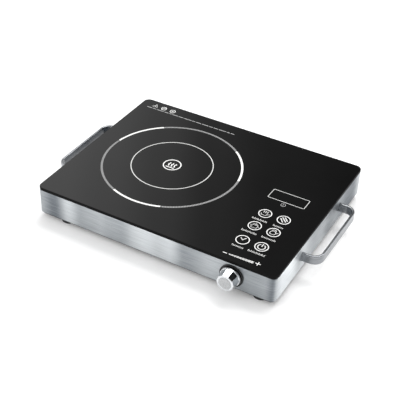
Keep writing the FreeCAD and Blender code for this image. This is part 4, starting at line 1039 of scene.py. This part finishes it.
    def keys(self) -> None:
        """Prints the six touch keys and the plain bars under them."""
        left, right = self.key_columns
        top, mid, low = self.key_rows
        strokes = [ring(x, y, self.key_radius, 1.2) for x in self.key_columns for y in self.key_rows]
        signs = self.pan_mark(left, top) + self.grill_mark(right, top)
        signs += self.pot_mark(left, mid) + self.kettle_mark(right, mid)
        signs += self.clock_mark(left, low) + self.power_mark(right, low)
        self.print_marks("key_rings", strokes, WHITE_INK)
        self.print_marks("key_signs", signs, PALE_INK)
        rows = (
            ((99.9, -46.4), 12, 2),
            ((130.6, -46.8), 8, 9),
            ((99.6, -75.6), 12, 3),
            ((128.4, -75.6), 11, 9),
            ((103.6, -109.0), 9, 9),
            ((126.0, -108.8), 13, 2),
        )
        bars = [tick for start, count, gap_at in rows for tick in ticks(start, count, gap_at)]
        self.print_marks("key_ticks", bars, PALE_INK)

    def power_scale(self) -> None:
        """Prints the slanted power wedge between a minus and a plus."""
        hatched = Printed(
            "hatched_white_ink", "#f2f2f0", "#151515", 0.5, hatch=Hatch.SLANTED,
            lines=2 * math.pi / self.wedge_pitch,
        )
        wedge = Stroke([(108.6, -128.2), (120.5, -127.9), (132.0, -127.5), (142.6, -127.1)], 1.9, 4.4)
        self.print_marks("power_wedge", [wedge], hatched)
        minus = Stroke([(100.6, -128.4), (106.2, -128.3)], 1.2)
        plus_lines = [(144.8, -126.2), (152.0, -126.0)], [(148.4, -129.5), (148.4, -122.7)]
        plus = [Stroke(points, 1.1) for points in plus_lines]
        self.print_marks("power_signs", [minus, *plus], WHITE_INK)

    def window(self) -> None:
        """Prints the display window's outline and the small mark below it."""
        x0, x1, y0, y1, r = 96.6, 149.8, 5.0, 25.4, 0.8
        right_side = [(x1 - r, y0), (x1, y0 + r), (x1, y1 - r), (x1 - r, y1)]
        left_side = [(x0 + r, y1), (x0, y1 - r), (x0, y0 + r), (x0 + r, y0)]
        corners = right_side + left_side
        frame_line = Stroke(corners, 0.9, closed=True)
        lamp = [ring(122.6, -1.4, 3.2, 0.7), Stroke([(122.6, -3.0), (122.6, 0.2)], 0.8)]
        self.print_marks("display_outline", [frame_line], PALE_INK)
        self.print_marks("display_lamp_mark", lamp, GREY_INK)

    def notes(self) -> None:
        """Prints the thin row at the back left and three small plain marks over it."""
        lengths = (9, 6, 12, 7, 4, 10, 8, 13, 5, 9, 11, 6, 8, 12, 5, 6)
        row = dashes((-166.5, 117.6), lengths, 1.5, 1.4)
        triangle = Stroke([(-160.0, 122.4), (-151.6, 122.4), (-155.8, 129.8)], 1.0, closed=True)
        dot = Stroke([(-155.8, 124.0), (-155.8, 126.6)], 1.1)
        discs = [ring(-141.0, 125.4, 4.0, 1.0), ring(-125.3, 125.2, 4.0, 1.0)]
        fills = [
            Stroke([(-143.4, 123.4), (-138.8, 127.4)], 1.1),
            Stroke([(-127.4, 125.2), (-123.2, 125.2)], 1.4),
        ]
        self.print_marks("note_marks", [triangle, dot, *discs, *fills], WHITE_INK)
        self.print_marks("note_row", row, GREY_INK)

    def build(self) -> None:
        """Prints every part of the legend."""
        self.zone()
        self.window()
        self.keys()
        self.power_scale()
        self.notes()


# ---------------------------------------------------------------- the band round the sides


@dataclass
class HousingBand:
    """The folded steel band: four walls with round corners, a flange above and below, and its openings."""

    corner: float = 7.5 * MM
    sheet: float = 0.8 * MM
    fold: float = 1.0 * MM
    flange: float = 6.4 * MM
    knob_hole: float = 4.7 * MM
    gland_hole: float = 6.7 * MM
    vent_count: int = 20
    vent_pitch: float = 6 * MM
    vent_start: float = -143 * MM
    vent_width: float = 2.4 * MM
    vent_height: float = 16 * MM
    vent_rounding: float = 0.48
    strap: float = 3.5 * MM
    slot_gap: float = 0.2 * MM

    def openings(self, low: Vector, high: Vector) -> list[Piece]:
        """Makes the tools that cut the knob hole, the cord hole, the vents and the handle slots.

        Args:
            low: The band's lowest corner.
            high: The band's highest corner.

        Returns:
            One cutting piece for each opening.
        """
        reach = 6 * MM
        shaft = node_middle("encoder_shaft")
        front_point = Vector((shaft.x, low.y - reach, shaft.z))
        gland = node_middle("cord_gland")
        rear_point = Vector((gland.x, high.y - reach, gland.z))
        tools = [
            Piece.turned("tool", front_point, BACK, [(self.knob_hole, 0), (self.knob_hole, 2 * reach)], 48),
            Piece.turned("tool", rear_point, BACK, [(self.gland_hole, 0), (self.gland_hole, 2 * reach)], 48),
        ]
        half_vent = Vector((self.vent_width / 2, reach, self.vent_height / 2))
        vent_point = Vector((self.vent_start, high.y, gland.z))
        vent = Piece.block("tool", vent_point - half_vent, vent_point + half_vent)
        vent.bevel(lambda e: runs_along(e, BACK), self.vent_width * self.vent_rounding, 4)
        tools.append(vent)
        steps = [ACROSS * i * self.vent_pitch for i in range(1, self.vent_count)]
        tools += [vent.copy("tool", step) for step in steps]
        bar_low, bar_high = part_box("handle_right")
        bar_half = (bar_high.z - bar_low.z) / 2
        half_slot = Vector((reach, self.strap / 2 + self.slot_gap, bar_half + self.slot_gap))
        slot_point = Vector((low.x, bar_low.y + self.strap / 2, bar_low.z + bar_half))
        slot = Piece.block("tool", slot_point - half_slot, slot_point + half_slot)
        tools.append(slot)
        far = ACROSS * (high.x - low.x)
        along = BACK * (bar_high.y - bar_low.y - self.strap)
        tools += [slot.copy("tool", step) for step in (far, along, far + along)]
        return tools

    def build(self) -> None:
        """Folds the band and cuts its openings."""
        low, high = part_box("housing_band")
        shell = Piece.block("band_shell", low, high)
        shell.bevel(lambda e: runs_along(e, UP), self.corner, 12)
        for level, sign in ((high.z, 1), (low.z, -1)):
            with shell.editing():
                shell.pick(
                    Element.FACE,
                    lambda f: f.normal.z * sign > ALIGNED and abs(middle(f).z - level) < TOUCH,
                )
                bpy.ops.mesh.inset(thickness=self.flange, depth=0)
                bpy.ops.mesh.delete(type="FACE")
        for level in (high.z, low.z):
            shell.bevel(lambda e: is_fold(e, UP, level), self.fold, 3)
        shell.finish_modifier("SOLIDIFY", thickness=self.sheet, offset=-1, use_even_offset=True)
        tools = self.openings(low, high)
        tools[0].join(tools[1:])
        shell.combine(tools[0], "DIFFERENCE")
        shell.settle(BRUSHED_STEEL, "cooktop", SLOT_OF["housing_band"], ["housing_band"])


# ---------------------------------------------------------------- handles and feet


@dataclass
class CarryHandle:
    """A flat bar bent into a wide U, with round edges and two round corners."""

    thick: float = 3.5 * MM
    bend: float = 15 * MM
    edge: float = 1.2 * MM

    def build(self) -> None:
        """Bends the right handle, then mirrors a copy for the left."""
        low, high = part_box("handle_right")
        Piece.clear_selection()
        middle_z = (low.z + high.z) / 2
        leg = low.y + self.thick / 2
        bpy.ops.mesh.primitive_plane_add(
            size=1, location=(low.x, leg, middle_z), rotation=(0, QUARTER, 0)
        )
        bar = Piece("handle_bar_right")
        with bar.editing():
            bpy.ops.mesh.select_all(action="SELECT")
            bpy.ops.transform.resize(
                value=(1, self.thick, high.z - low.z), center_override=(low.x, leg, middle_z)
            )
            bpy.ops.mesh.bevel(offset=self.edge, segments=4, affect="VERTICES")
            bpy.ops.mesh.select_all(action="SELECT")
            bpy.ops.mesh.delete(type="ONLY_FACE")
            bpy.ops.mesh.select_all(action="SELECT")
            run = high.x - self.bend - low.x
            bpy.ops.mesh.extrude_edges_move(TRANSFORM_OT_translate={"value": (run, 0, 0)})
            bend_x = high.x - self.bend
            bpy.ops.mesh.spin(
                steps=14, angle=-QUARTER, center=(bend_x, low.y + self.bend, middle_z), axis=(0, 0, 1)
            )
            rise = high.y - low.y - 2 * self.bend
            bpy.ops.mesh.extrude_edges_move(TRANSFORM_OT_translate={"value": (0, rise, 0)})
            bpy.ops.mesh.spin(
                steps=14, angle=-QUARTER, center=(bend_x, high.y - self.bend, middle_z), axis=(0, 0, 1)
            )
            bpy.ops.mesh.extrude_edges_move(TRANSFORM_OT_translate={"value": (-run, 0, 0)})
            bpy.ops.mesh.select_all(action="SELECT")
            bpy.ops.mesh.remove_doubles(threshold=TOUCH)
            bpy.ops.mesh.fill_holes(sides=0)
            bpy.ops.mesh.normals_make_consistent(inside=False)
        other = bar.copy("handle_bar_left")
        other.mirror_across()
        bar.settle(SATIN_STEEL, "cooktop", SLOT_OF["handle_right"], ["handle_right"])
        other.settle(SATIN_STEEL, "cooktop", SLOT_OF["handle_left"], ["handle_left"])


# Nitrile rubber pressed in a spark-eroded mould: dead black, with a dusty grey bloom.
FOOT_RUBBER = Moulded(
    "moulded_nitrile_rubber", "#17181a", "#232426", 0.8, grain=0.8 * MM, depth=0.03 * MM, blotch=7 * MM,
)
# Glass-filled nylon with a light tool texture: black, faintly grey along its ribs.
GLAND_NYLON = Moulded(
    "moulded_black_nylon", "#1a1b1d", "#242528", 0.52, grain=0.7 * MM, depth=0.02 * MM, blotch=9 * MM,
)


@dataclass
class RubberFeet:
    """Four tapered rubber feet, each with a screw recess and two grooves in its sole."""

    taper: float = 1.2 * MM
    recess_radius: float = 4.2 * MM
    recess_depth: float = 4 * MM
    bore_radius: float = 1.7 * MM
    groove: float = 0.5 * MM
    groove_insets: tuple[float, float] = (4.0, 2.0)

    def build(self) -> None:
        """Turns one foot and copies it to each corner."""
        low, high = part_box("foot_front_left")
        middle_point = node_middle("foot_front_left")
        foot_point = Vector((middle_point.x, middle_point.y, 0))
        top_radius = (high.x - low.x) / 2
        r, s, g = self.recess_radius, top_radius - self.taper, self.groove
        profile = [
            (self.bore_radius, self.recess_depth),
            (r, self.recess_depth),
            (r, 0.4 * MM),
            (r + 0.4 * MM, 0),
            *(
                (s - (inset - across) * MM, rise)
                for inset in self.groove_insets
                for across, rise in ((0, 0), (0.2, g), (0.8, g), (1, 0))
            ),
            (s - 0.6 * MM, 0),
            (s, 0.6 * MM),
            (top_radius, high.z - 1.2 * MM),
            (top_radius, high.z),
            (self.bore_radius, high.z),
            (self.bore_radius, self.recess_depth),
        ]
        first = Piece.turned("rubber_foot_front_left", foot_point, UP, profile, 56)
        others = []
        for node in ("foot_front_right", "foot_rear_left", "foot_rear_right"):
            others.append((first.copy("rubber_" + node, node_middle(node) - middle_point), node))
        first.settle(FOOT_RUBBER, "cooktop", SLOT_OF["foot_front_left"], ["foot_front_left"])
        for copied, node in others:
            copied.settle(FOOT_RUBBER, "cooktop", SLOT_OF[node], [node])


@dataclass
class CordGland:
    """The cord bushing at the back: a round flange and a ribbed nose with the cord's bore."""

    flange_radius: float = 9.5 * MM
    flange_thick: float = 3 * MM
    bore_radius: float = 3.6 * MM
    barrel_radius: float = 6.5 * MM
    shoulder_radius: float = 7.0 * MM
    ribs: int = 3
    rib_pitch: float = 1.6
    rib_taper: float = 0.2

    def build(self) -> None:
        """Turns the bushing with three shallow grooves in its nose."""
        low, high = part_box("cord_gland")
        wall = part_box("housing_band")[1].y
        start = low.y - wall
        tip = high.y - wall
        centre = (low + high) / 2
        foot_point = Vector((centre.x, wall, centre.z))
        b, f = self.bore_radius, self.flange_radius
        barrel, thick = self.barrel_radius, self.flange_thick
        profile = [(b, start), (barrel, start), (barrel, 0), (f, 0), (f, thick - 1 * MM)]
        profile += [(f - 1 * MM, thick), (self.shoulder_radius, thick)]
        for i in range(self.ribs):
            at = thick + (0.6 + self.rib_pitch * i) * MM
            radius = (6.6 - self.rib_taper * i) * MM
            profile += [(radius, at), (radius - 0.7 * MM, at + 0.2 * MM)]
            profile += [(radius - 0.7 * MM, at + 0.7 * MM), (radius, at + 0.9 * MM)]
        profile += [(6.0 * MM, tip - 0.5 * MM), (5.4 * MM, tip), (b + 0.4 * MM, tip), (b, tip - 0.4 * MM)]
        profile.append((b, start))
        gland = Piece.turned("cord_bushing", foot_point, BACK, profile, 64)
        gland.settle(GLAND_NYLON, "cooktop", SLOT_OF["cord_gland"], ["cord_gland"])


# ---------------------------------------------------------------- the knob


@dataclass
class ControlKnob:
    """The chrome knob: a grooved skirt, a ten-sided grip with round corners and a disc in its face."""

    skirt_radius: float = 14 * MM
    skirt_thick: float = 3 * MM
    grip_radius: float = 13.4 * MM
    face_radius: float = 11.8 * MM
    flats: int = 10
    flat_depth: float = 0.4 * MM
    edge_round: float = 0.35 * MM
    face_round: float = 0.8 * MM
    disc_radius: float = 8.6 * MM
    disc_gap: float = 0.15 * MM
    seat_depth: float = 0.8 * MM
    shaft_bore: float = 3.0 * MM
    nut_pocket: float = 8.6 * MM
    nut_room: float = 0.6 * MM
    least_pocket: float = 0.2 * MM
    overrun: float = 1 * MM

    def build(self) -> None:
        """Makes the skirt and the grip, joins them, and bores the pocket for the shaft and its nut."""
        low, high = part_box("knob")
        centre = (low + high) / 2
        back = Vector((centre.x, high.y, centre.z))
        length = high.y - low.y
        s, t = self.skirt_radius, self.skirt_thick
        skirt = Piece.turned(
            "control_knob",
            back,
            FRONT,
            [
                (s - 0.7 * MM, 0),
                (s - 0.2 * MM, 0.2 * MM),
                (s, 0.6 * MM),
                (s, 1.1 * MM),
                (s - 0.5 * MM, 1.35 * MM),
                (s - 0.5 * MM, 1.6 * MM),
                (s, 1.85 * MM),
                (s, t - 0.6 * MM),
                (s - 0.2 * MM, t - 0.2 * MM),
                (s - 0.7 * MM, t),
                (3.2 * MM, t),
            ],
            128,
        )
        apothem = self.grip_radius - self.flat_depth
        outer = apothem / math.cos(math.pi / self.flats)
        taper = self.face_radius / self.grip_radius
        start = t - 0.3 * MM
        grip = Piece.turned(
            "grip", back, FRONT, [(outer, start), (outer * taper, length)], self.flats
        )
        grip.turn(math.pi / self.flats, "Y", back)
        grip.bevel(lambda e: runs_along(e, BACK), self.edge_round, 3)
        front_y = back.y - length
        grip.bevel(
            lambda e: abs(middle(e).y - front_y) < TOUCH and len(e.link_faces) == 2, self.face_round, 4
        )
        rim = self.disc_radius + self.disc_gap
        seat_profile = [(rim, length - self.seat_depth), (rim, length + self.overrun)]
        seat = Piece.turned("seat", back, FRONT, seat_profile, 96)
        grip.combine(seat, "DIFFERENCE")
        skirt.combine(grip, "UNION")
        nut_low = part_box("encoder_nut")[0]
        shaft_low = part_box("encoder_shaft")[0]
        floor = back.y - nut_low.y + self.nut_room
        end = back.y - shaft_low.y
        bore_profile = [(self.shaft_bore, -self.overrun), (self.shaft_bore, end)]
        bore = Piece.turned("bore", back, FRONT, bore_profile, 48)
        skirt.combine(bore, "DIFFERENCE")
        if floor > self.least_pocket:
            pocket_profile = [(self.nut_pocket, -self.overrun), (self.nut_pocket, floor)]
            pocket = Piece.turned("pocket", back, FRONT, pocket_profile, 64)
            skirt.combine(pocket, "DIFFERENCE")
        skirt.settle(CHROME, "knob", SLOT_OF["knob"], ["knob"])
        self.disc(back)

    def disc(self, back: Vector) -> None:
        """Turns the disc in the knob's face, with a raised rim and a shallow dish."""
        low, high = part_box("knob_cap")
        front = back.y - low.y
        rear = back.y - high.y
        r = self.disc_radius
        finish = Ringed(
            "spun_aluminium_disc",
            "#bfc0c1",
            "#8f9193",
            0.26,
            metallic=1.0,
            centre=(back.x, 0.0, back.z),
            flatten=(1.0, 0.0, 1.0),
            pitch=0.9 * MM,
            depth=0.006 * MM,
            anisotropy=0.5,
        )
        cap = Piece.turned(
            "knob_face_disc",
            back,
            FRONT,
            [
                (r, rear),
                (r, front - 0.15 * MM),
                (r - 0.15 * MM, front),
                (r - 0.8 * MM, front),
                (r - 1.0 * MM, front - 0.12 * MM),
                (r - 4.0 * MM, front - 0.16 * MM),
                (0.6 * MM, front - 0.18 * MM),
            ],
            96,
        )
        cap.settle(finish, "knob", SLOT_OF["knob_cap"], ["knob_cap"])


@dataclass
class KnobBezel:
    """The ring behind the knob: a dished disc with a raised round lip."""

    lip: float = 1.0 * MM
    dish: float = 0.8 * MM
    hole: float = 4.8 * MM

    def build(self) -> None:
        """Turns the bezel from the band's face forwards."""
        low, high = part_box("knob_bezel")
        centre = (low + high) / 2
        foot = Vector((centre.x, high.y, centre.z))
        t = high.y - low.y
        o, lip = (high.x - low.x) / 2, self.lip
        profile = [
            (self.hole, 0),
            (o, 0),
            (o, t - 0.5 * MM),
            (o - 0.15 * MM, t - 0.15 * MM),
            (o - 0.5 * MM, t),
            (o - 0.85 * MM, t - 0.15 * MM),
            (o - lip, t - 0.5 * MM),
            (o - lip - 0.2 * MM, t - self.dish),
            (self.hole, t - self.dish),
            (self.hole, 0),
        ]
        bezel = Piece.turned("knob_trim_ring", foot, FRONT, profile, 112)
        bezel.settle(BEZEL_PLASTIC, "cooktop", SLOT_OF["knob_bezel"], ["knob_bezel"])


# ---------------------------------------------------------------- the CAD nodes' finishes


@dataclass
class Wardrobe:
    """The finish of every material slot, for the CAD nodes that stay as they are."""

    finishes: dict[str, Finish] = field(default_factory=dict)

    def fill(self) -> None:
        """Chooses a finish for each slot."""
        coil_middle = node_middle("induction_coil")
        choices = {
            "ceramic_glass": CERAMIC_GLASS,
            # Silicone bead, wiped smooth: black and slightly greasy.
            "silicone": Moulded(
                "cured_silicone_bead", "#121314", "#1b1c1d", 0.45, depth=0.01 * MM, blotch=8 * MM,
            ),
            "brushed_band": BRUSHED_STEEL,
            # Flame-retardant polypropylene with spark-eroded grain: dull black-grey underside.
            "pan_plastic": Moulded(
                "moulded_black_polypropylene", "#1c1d1f", "#26272a", 0.6, grain=1.0 * MM,
                depth=0.04 * MM, blotch=40 * MM,
            ),
            "foot_rubber": FOOT_RUBBER,
            # Zinc-plated and clear-passivated screws: pale with a bluish cloud.
            "zinc_screw": Plated("passivated_zinc_screw", "#c3c8ce", "#a5abb3", 0.32, cloud=2.5 * MM),
            "handle_steel": SATIN_STEEL,
            # Hot-dip galvanised bracket strip: spangled grey.
            "bracket_steel": Flaked(
                "galvanised_strip", "#9da1a5", "#b9bdc1", 0.42, metallic=1.0, cell=4 * MM,
                depth=0.004 * MM,
            ),
            "knob_plating": CHROME,
            "knob_disc": Brushed("brushed_disc_blank", "#d8d9da", "#b9bbbd", 0.28),
            "bezel_plastic": BEZEL_PLASTIC,
            # Injection-moulded polybutylene terephthalate: the parts maker's black.
            "component_plastic": Moulded(
                "moulded_black_polyester", "#1d1e20", "#2a2b2e", 0.5, grain=0.5 * MM, blotch=10 * MM,
            ),
            # Nickel-plated brass hardware, warm under the plating.
            "nickel_brass": Plated("nickel_plated_brass", "#cfc8b8", "#b8ae98", 0.24, cloud=3 * MM),
            # Turned aluminium alloy with circumferential lines.
            "shaft_metal": Brushed(
                "turned_alloy_shaft", "#c2c4c6", "#a9abad", 0.3, lay=Lay.ALONG_X, pitch=0.4 * MM,
            ),
            # Pressed phlogopite mica sheet: amber-grey flakes with a pearly sheen.
            "mica": Flaked("pressed_mica_sheet", "#b8a684", "#8f7f62", 0.38, cell=6 * MM, depth=0.01 * MM),
            # Enamelled copper litz wound flat: brown-orange turns, one ridge for each.
            "coil_wire": Ringed(
                "enamelled_copper_litz", "#c2703a", "#7a3b1b", 0.4, metallic=0.6,
                centre=(coil_middle.x, coil_middle.y, 0.0), pitch=2.6 * MM, depth=0.25 * MM,
            ),
            # Heat-stabilised nylon coil carrier: off-white going cream.
            "former_plastic": Moulded(
                "moulded_cream_nylon", "#d8d2c2", "#c7c0ad", 0.5, grain=0.8 * MM, blotch=20 * MM,
            ),
            # Sintered manganese-zinc ferrite: charcoal, chalky and slightly pitted.
            "ferrite": Moulded(
                "sintered_ferrite", "#35363a", "#47484d", 0.72, grain=0.5 * MM, depth=0.05 * MM,
                blotch=6 * MM,
            ),
            # Hard-drawn spring wire with a light oil film.
            "spring_wire": Brushed(
                "drawn_spring_wire", "#b6b8ba", "#8f9193", 0.3, lay=Lay.ALONG_Z, pitch=0.3 * MM,
            ),
            # Pressed steatite: bone white and matt.
            "sensor_ceramic": Moulded(
                "pressed_steatite", "#e8e4da", "#d9d3c5", 0.6, grain=0.4 * MM, blotch=4 * MM,
            ),
            # Glass-epoxy board under green solder mask with tracks that show through.
            "circuit_board": Flaked(
                "masked_glass_epoxy_board", "#2f7d4a", "#14502c", 0.36, cell=4.5 * MM, edges_only=True,
                depth=0.03 * MM,
            ),
            # Smoked acrylic over the digits.
            "display_plastic": Moulded(
                "smoked_acrylic_window", "#140e0e", "#1e1414", 0.12, grain=3 * MM, depth=0.002 * MM,
            ),
            # Clear-water diode lens with a white diffuser.
            "light_plastic": Moulded(
                "diffusing_diode_lens", "#e9ecea", "#d5dad8", 0.25, grain=0.6 * MM, depth=0.004 * MM,
                blotch=3 * MM,
            ),
            # Extruded aluminium with die lines along its fins.
            "sink_metal": Brushed(
                "extruded_aluminium", "#c9cbcd", "#b0b2b4", 0.38, lay=Lay.ALONG_X, pitch=0.8 * MM,
            ),
            # Dipped film capacitor in blue-grey flame-proof case.
            "film_box": Moulded(
                "cast_capacitor_box", "#2c4f8c", "#244273", 0.35, grain=0.7 * MM, blotch=10 * MM,
            ),
            # Heat-shrunk sleeve over an aluminium can.
            "can_sleeve": Moulded(
                "shrunk_vinyl_sleeve", "#23252b", "#2e3139", 0.28, grain=2 * MM, depth=0.02 * MM,
                blotch=12 * MM,
            ),
            # Enamelled magnet wire wound on a toroid.
            "choke_wire": Striped(
                "enamelled_magnet_wire", "#b9642c", "#6f3313", 0.32, metallic=0.7, way=(0.8, 0.6, 0.0),
                pitch=1.4 * MM, depth=0.2 * MM,
            ),
            # Stacked silicon-steel laminations, varnished.
            "core_steel": Striped(
                "varnished_laminations", "#77797c", "#4c4e51", 0.45, metallic=0.8, way=(0.0, 0.0, 1.0),
                pitch=0.9 * MM,
            ),
            # Polyamide terminal strip in natural grey-white.
            "terminal_plastic": Moulded(
                "moulded_natural_polyamide", "#dcdad2", "#cbc8be", 0.5, grain=0.7 * MM, blotch=8 * MM,
            ),
            # Extruded silicone-rubber lead covers.
            "lead_jacket": Moulded(
                "extruded_lead_cover", "#a3231f", "#8a1c19", 0.45, grain=1.5 * MM, depth=0.01 * MM,
                blotch=14 * MM,
            ),
            # Flat ribbon of grey vinyl cores side by side.
            "ribbon_jacket": Striped(
                "grey_ribbon_cores", "#a5a7a9", "#7f8183", 0.5, way=(0.0, 1.0, 0.0), pitch=1.27 * MM,
                depth=0.15 * MM,
            ),
        }
        self.finishes.update(choices)

    def dress(self) -> None:
        """Gives every CAD node the finish of its slot."""
        for node, body in frame["nodes"].items():
            finish = self.finishes[SLOT_OF[node]]
            body.data.materials.clear()
            body.data.materials.append(finish.material())
            LOG.info("%s: kept, %s", node, finish.name)


# ---------------------------------------------------------------- light, floor and camera


@dataclass(frozen=True)
class Softbox:
    """One square or oblong area light with its place and aim."""

    name: str
    place: tuple[float, float, float]
    aim: tuple[float, float, float]
    width: float
    height: float
    power: float

    def light(self) -> None:
        """Hangs the light and turns it to its aim."""
        lamp = bpy.data.lights.new(self.name, "AREA")
        lamp.shape = "RECTANGLE"
        lamp.size = self.width
        lamp.size_y = self.height
        lamp.energy = self.power
        holder = bpy.data.objects.new(self.name, lamp)
        bpy.context.scene.collection.objects.link(holder)
        way = Vector(self.aim) - Vector(self.place)
        holder.rotation_euler = way.to_track_quat("-Z", "Y").to_euler()
        holder.location = self.place


@dataclass
class Studio:
    """A white table, a light tent with a dark flag behind the plate, two softboxes and the camera."""

    azimuth: float = 28.68
    elevation: float = 36.56
    roll: float = 1.84
    place: tuple[float, float, float] = (0.4990, -0.9156, 0.7857)
    lens: float = 83.35
    sensor: float = 36.0
    table: float = 12.0
    table_glow: float = 0.14
    tent: float = 1.0
    rear_stops: Stops = (
        (-0.5, 1.0), (-0.15, 1.0), (-0.1, 0.8), (-0.04, 0.52), (0.01, 0.28), (0.08, 0.15), (0.18, 0.09),
        (0.7, 0.1), (1.0, 0.5),
    )
    front_stops: Stops = (
        (-1.0, 0.45), (-0.93, 0.55), (-0.87, 0.9), (-0.6, 1.0), (-0.2, 0.85), (0.2, 0.65), (0.9, 0.55),
    )
    behind: tuple[float, float] = (-0.2, 0.25)
    low: tuple[float, float] = (0.5, 0.35)
    outside: tuple[float, float] = (0.7, 0.82)
    low_right_level: float = 0.9
    high: tuple[float, float] = (0.42, 0.52)
    beside: tuple[float, float] = (0.4, 0.65)
    flag_level: float = 0.02
    overhead: tuple[float, float] = (0.7, 0.8)
    softboxes: tuple[Softbox, ...] = (
        Softbox("top_softbox", (0.0, 0.85, 1.75), (0.0, 0.0, 0.0), 1.6, 0.9, 26.0),
        Softbox("right_card", (0.52, 0.22, 0.22), (0.2, -0.12, 0.02), 0.2, 0.3, 0.6),
        Softbox("left_strip", (-0.75, -1.15, 1.25), (0.0, -0.13, 0.03), 0.3, 1.2, 4.0),
    )

    def camera(self) -> None:
        """Sets the camera at its place, slightly rolled."""
        turn, rise, lean = (math.radians(a) for a in (self.azimuth, self.elevation, self.roll))
        backward = Vector(
            (math.sin(turn) * math.cos(rise), -math.cos(turn) * math.cos(rise), math.sin(rise))
        )
        right = UP.cross(backward).normalized()
        upward = backward.cross(right)
        rolled_right = math.cos(lean) * right + math.sin(lean) * upward
        rolled_up = math.cos(lean) * upward - math.sin(lean) * right
        view = bpy.data.cameras.new("view")
        view.lens = self.lens
        view.sensor_width = self.sensor
        view.clip_start = 0.01
        holder = bpy.data.objects.new("view", view)
        bpy.context.scene.collection.objects.link(holder)
        axes = Matrix((rolled_right, rolled_up, backward)).transposed().to_4x4()
        holder.matrix_world = Matrix.Translation(self.place) @ axes
        bpy.context.scene.camera = holder

    def floor(self) -> None:
        """Lays the white table."""
        Piece.clear_selection()
        bpy.ops.mesh.primitive_plane_add(size=self.table, location=(0, 0, 0))
        sheet = Piece("table_sheet")
        # Matt opal acrylic, lit softly from beneath as a photographer's light table.
        finish = Moulded(
            "opal_acrylic_table", "#f1f1f1", "#eeeeee", 0.9, grain=30 * MM, depth=0.0, blotch=400 * MM,
        )
        skin = finish.material()
        shader = skin.node_tree.nodes["Principled BSDF"]
        shader.inputs["Emission Color"].default_value = linear("#ffffff")
        shader.inputs["Emission Strength"].default_value = self.table_glow
        sheet.body.data.materials.append(skin)

    def step(self, tree: Tree, value: Socket, start: float, end: float) -> Socket:
        """A smooth step from nought to one between two values.

        Args:
            tree: The world's node tree.
            value: The value that the step follows.
            start: Where the step is nought.
            end: Where it is one.

        Returns:
            The socket that carries the step.
        """
        rising = start < end
        span = {
            "Value": value,
            "From Min": min(start, end),
            "From Max": max(start, end),
            "To Min": 0.0 if rising else 1.0,
            "To Max": 1.0 if rising else 0.0,
        }
        return add_node(tree, "ShaderNodeMapRange", {"interpolation_type": "SMOOTHSTEP"}, span).outputs[0]

    def sky(self) -> None:
        """Lights the tent from the left; the right side and the back right are flagged dark."""
        world = bpy.data.worlds.new("light_tent")
        world.use_nodes = True
        bpy.context.scene.world = world
        tree = world.node_tree
        tree.nodes.clear()
        way = add_node(tree, "ShaderNodeTexCoord").outputs["Generated"]
        turn = math.radians(self.azimuth)
        sides = ((math.cos(turn), math.sin(turn), 0.0), (-math.sin(turn), math.cos(turn), 0.0), UP)
        dots = [
            add_node(tree, "ShaderNodeVectorMath", {"operation": "DOT_PRODUCT"}, {0: way, 1: side})
            for side in sides
        ]
        sideways, depthwise, rise = (dot.outputs["Value"] for dot in dots)
        rear = graded(tree, sideways, self.rear_stops)
        front = graded(tree, sideways, self.front_stops)
        tone = blend_colour(tree, self.step(tree, depthwise, *self.behind), front, rear)
        low_right = (rise, self.low), (sideways, self.outside)
        flagged = (rise, self.high), (sideways, self.beside)
        for (first, first_span), (second, second_span), level in (
            (*low_right, self.low_right_level),
            (*flagged, self.flag_level),
        ):
            spans = self.step(tree, first, *first_span), self.step(tree, second, *second_span)
            both = add_node(
                tree, "ShaderNodeMath", {"operation": "MULTIPLY"}, {0: spans[0], 1: spans[1]}
            )
            tone = blend_colour(tree, both.outputs[0], tone, (level, level, level, 1.0))
        tone = blend_colour(tree, self.step(tree, rise, *self.overhead), tone, (1.0, 1.0, 1.0, 1.0))
        glow = add_node(tree, "ShaderNodeBackground", inputs={"Color": tone, "Strength": self.tent})
        add_node(tree, "ShaderNodeOutputWorld", inputs={"Surface": glow.outputs[0]})

    def build(self) -> None:
        """Sets up the whole studio."""
        self.camera()
        self.floor()
        self.sky()
        for softbox in self.softboxes:
            softbox.light()
        bpy.context.scene.view_settings.view_transform = "Standard"


def main() -> None:
    """Builds the cooktop's looks in order."""
    logging.basicConfig(level=logging.INFO, format="%(name)s %(message)s")
    wardrobe = Wardrobe()
    wardrobe.fill()
    wardrobe.dress()
    assemblies = (GlassPlate, Legend, HousingBand, CarryHandle, RubberFeet, CordGland, ControlKnob, KnobBezel)
    for assembly in assemblies:
        assembly().build()
        LOG.info("%s built", assembly.__name__)
    Studio().build()


if __name__ == "__main__":
    main()
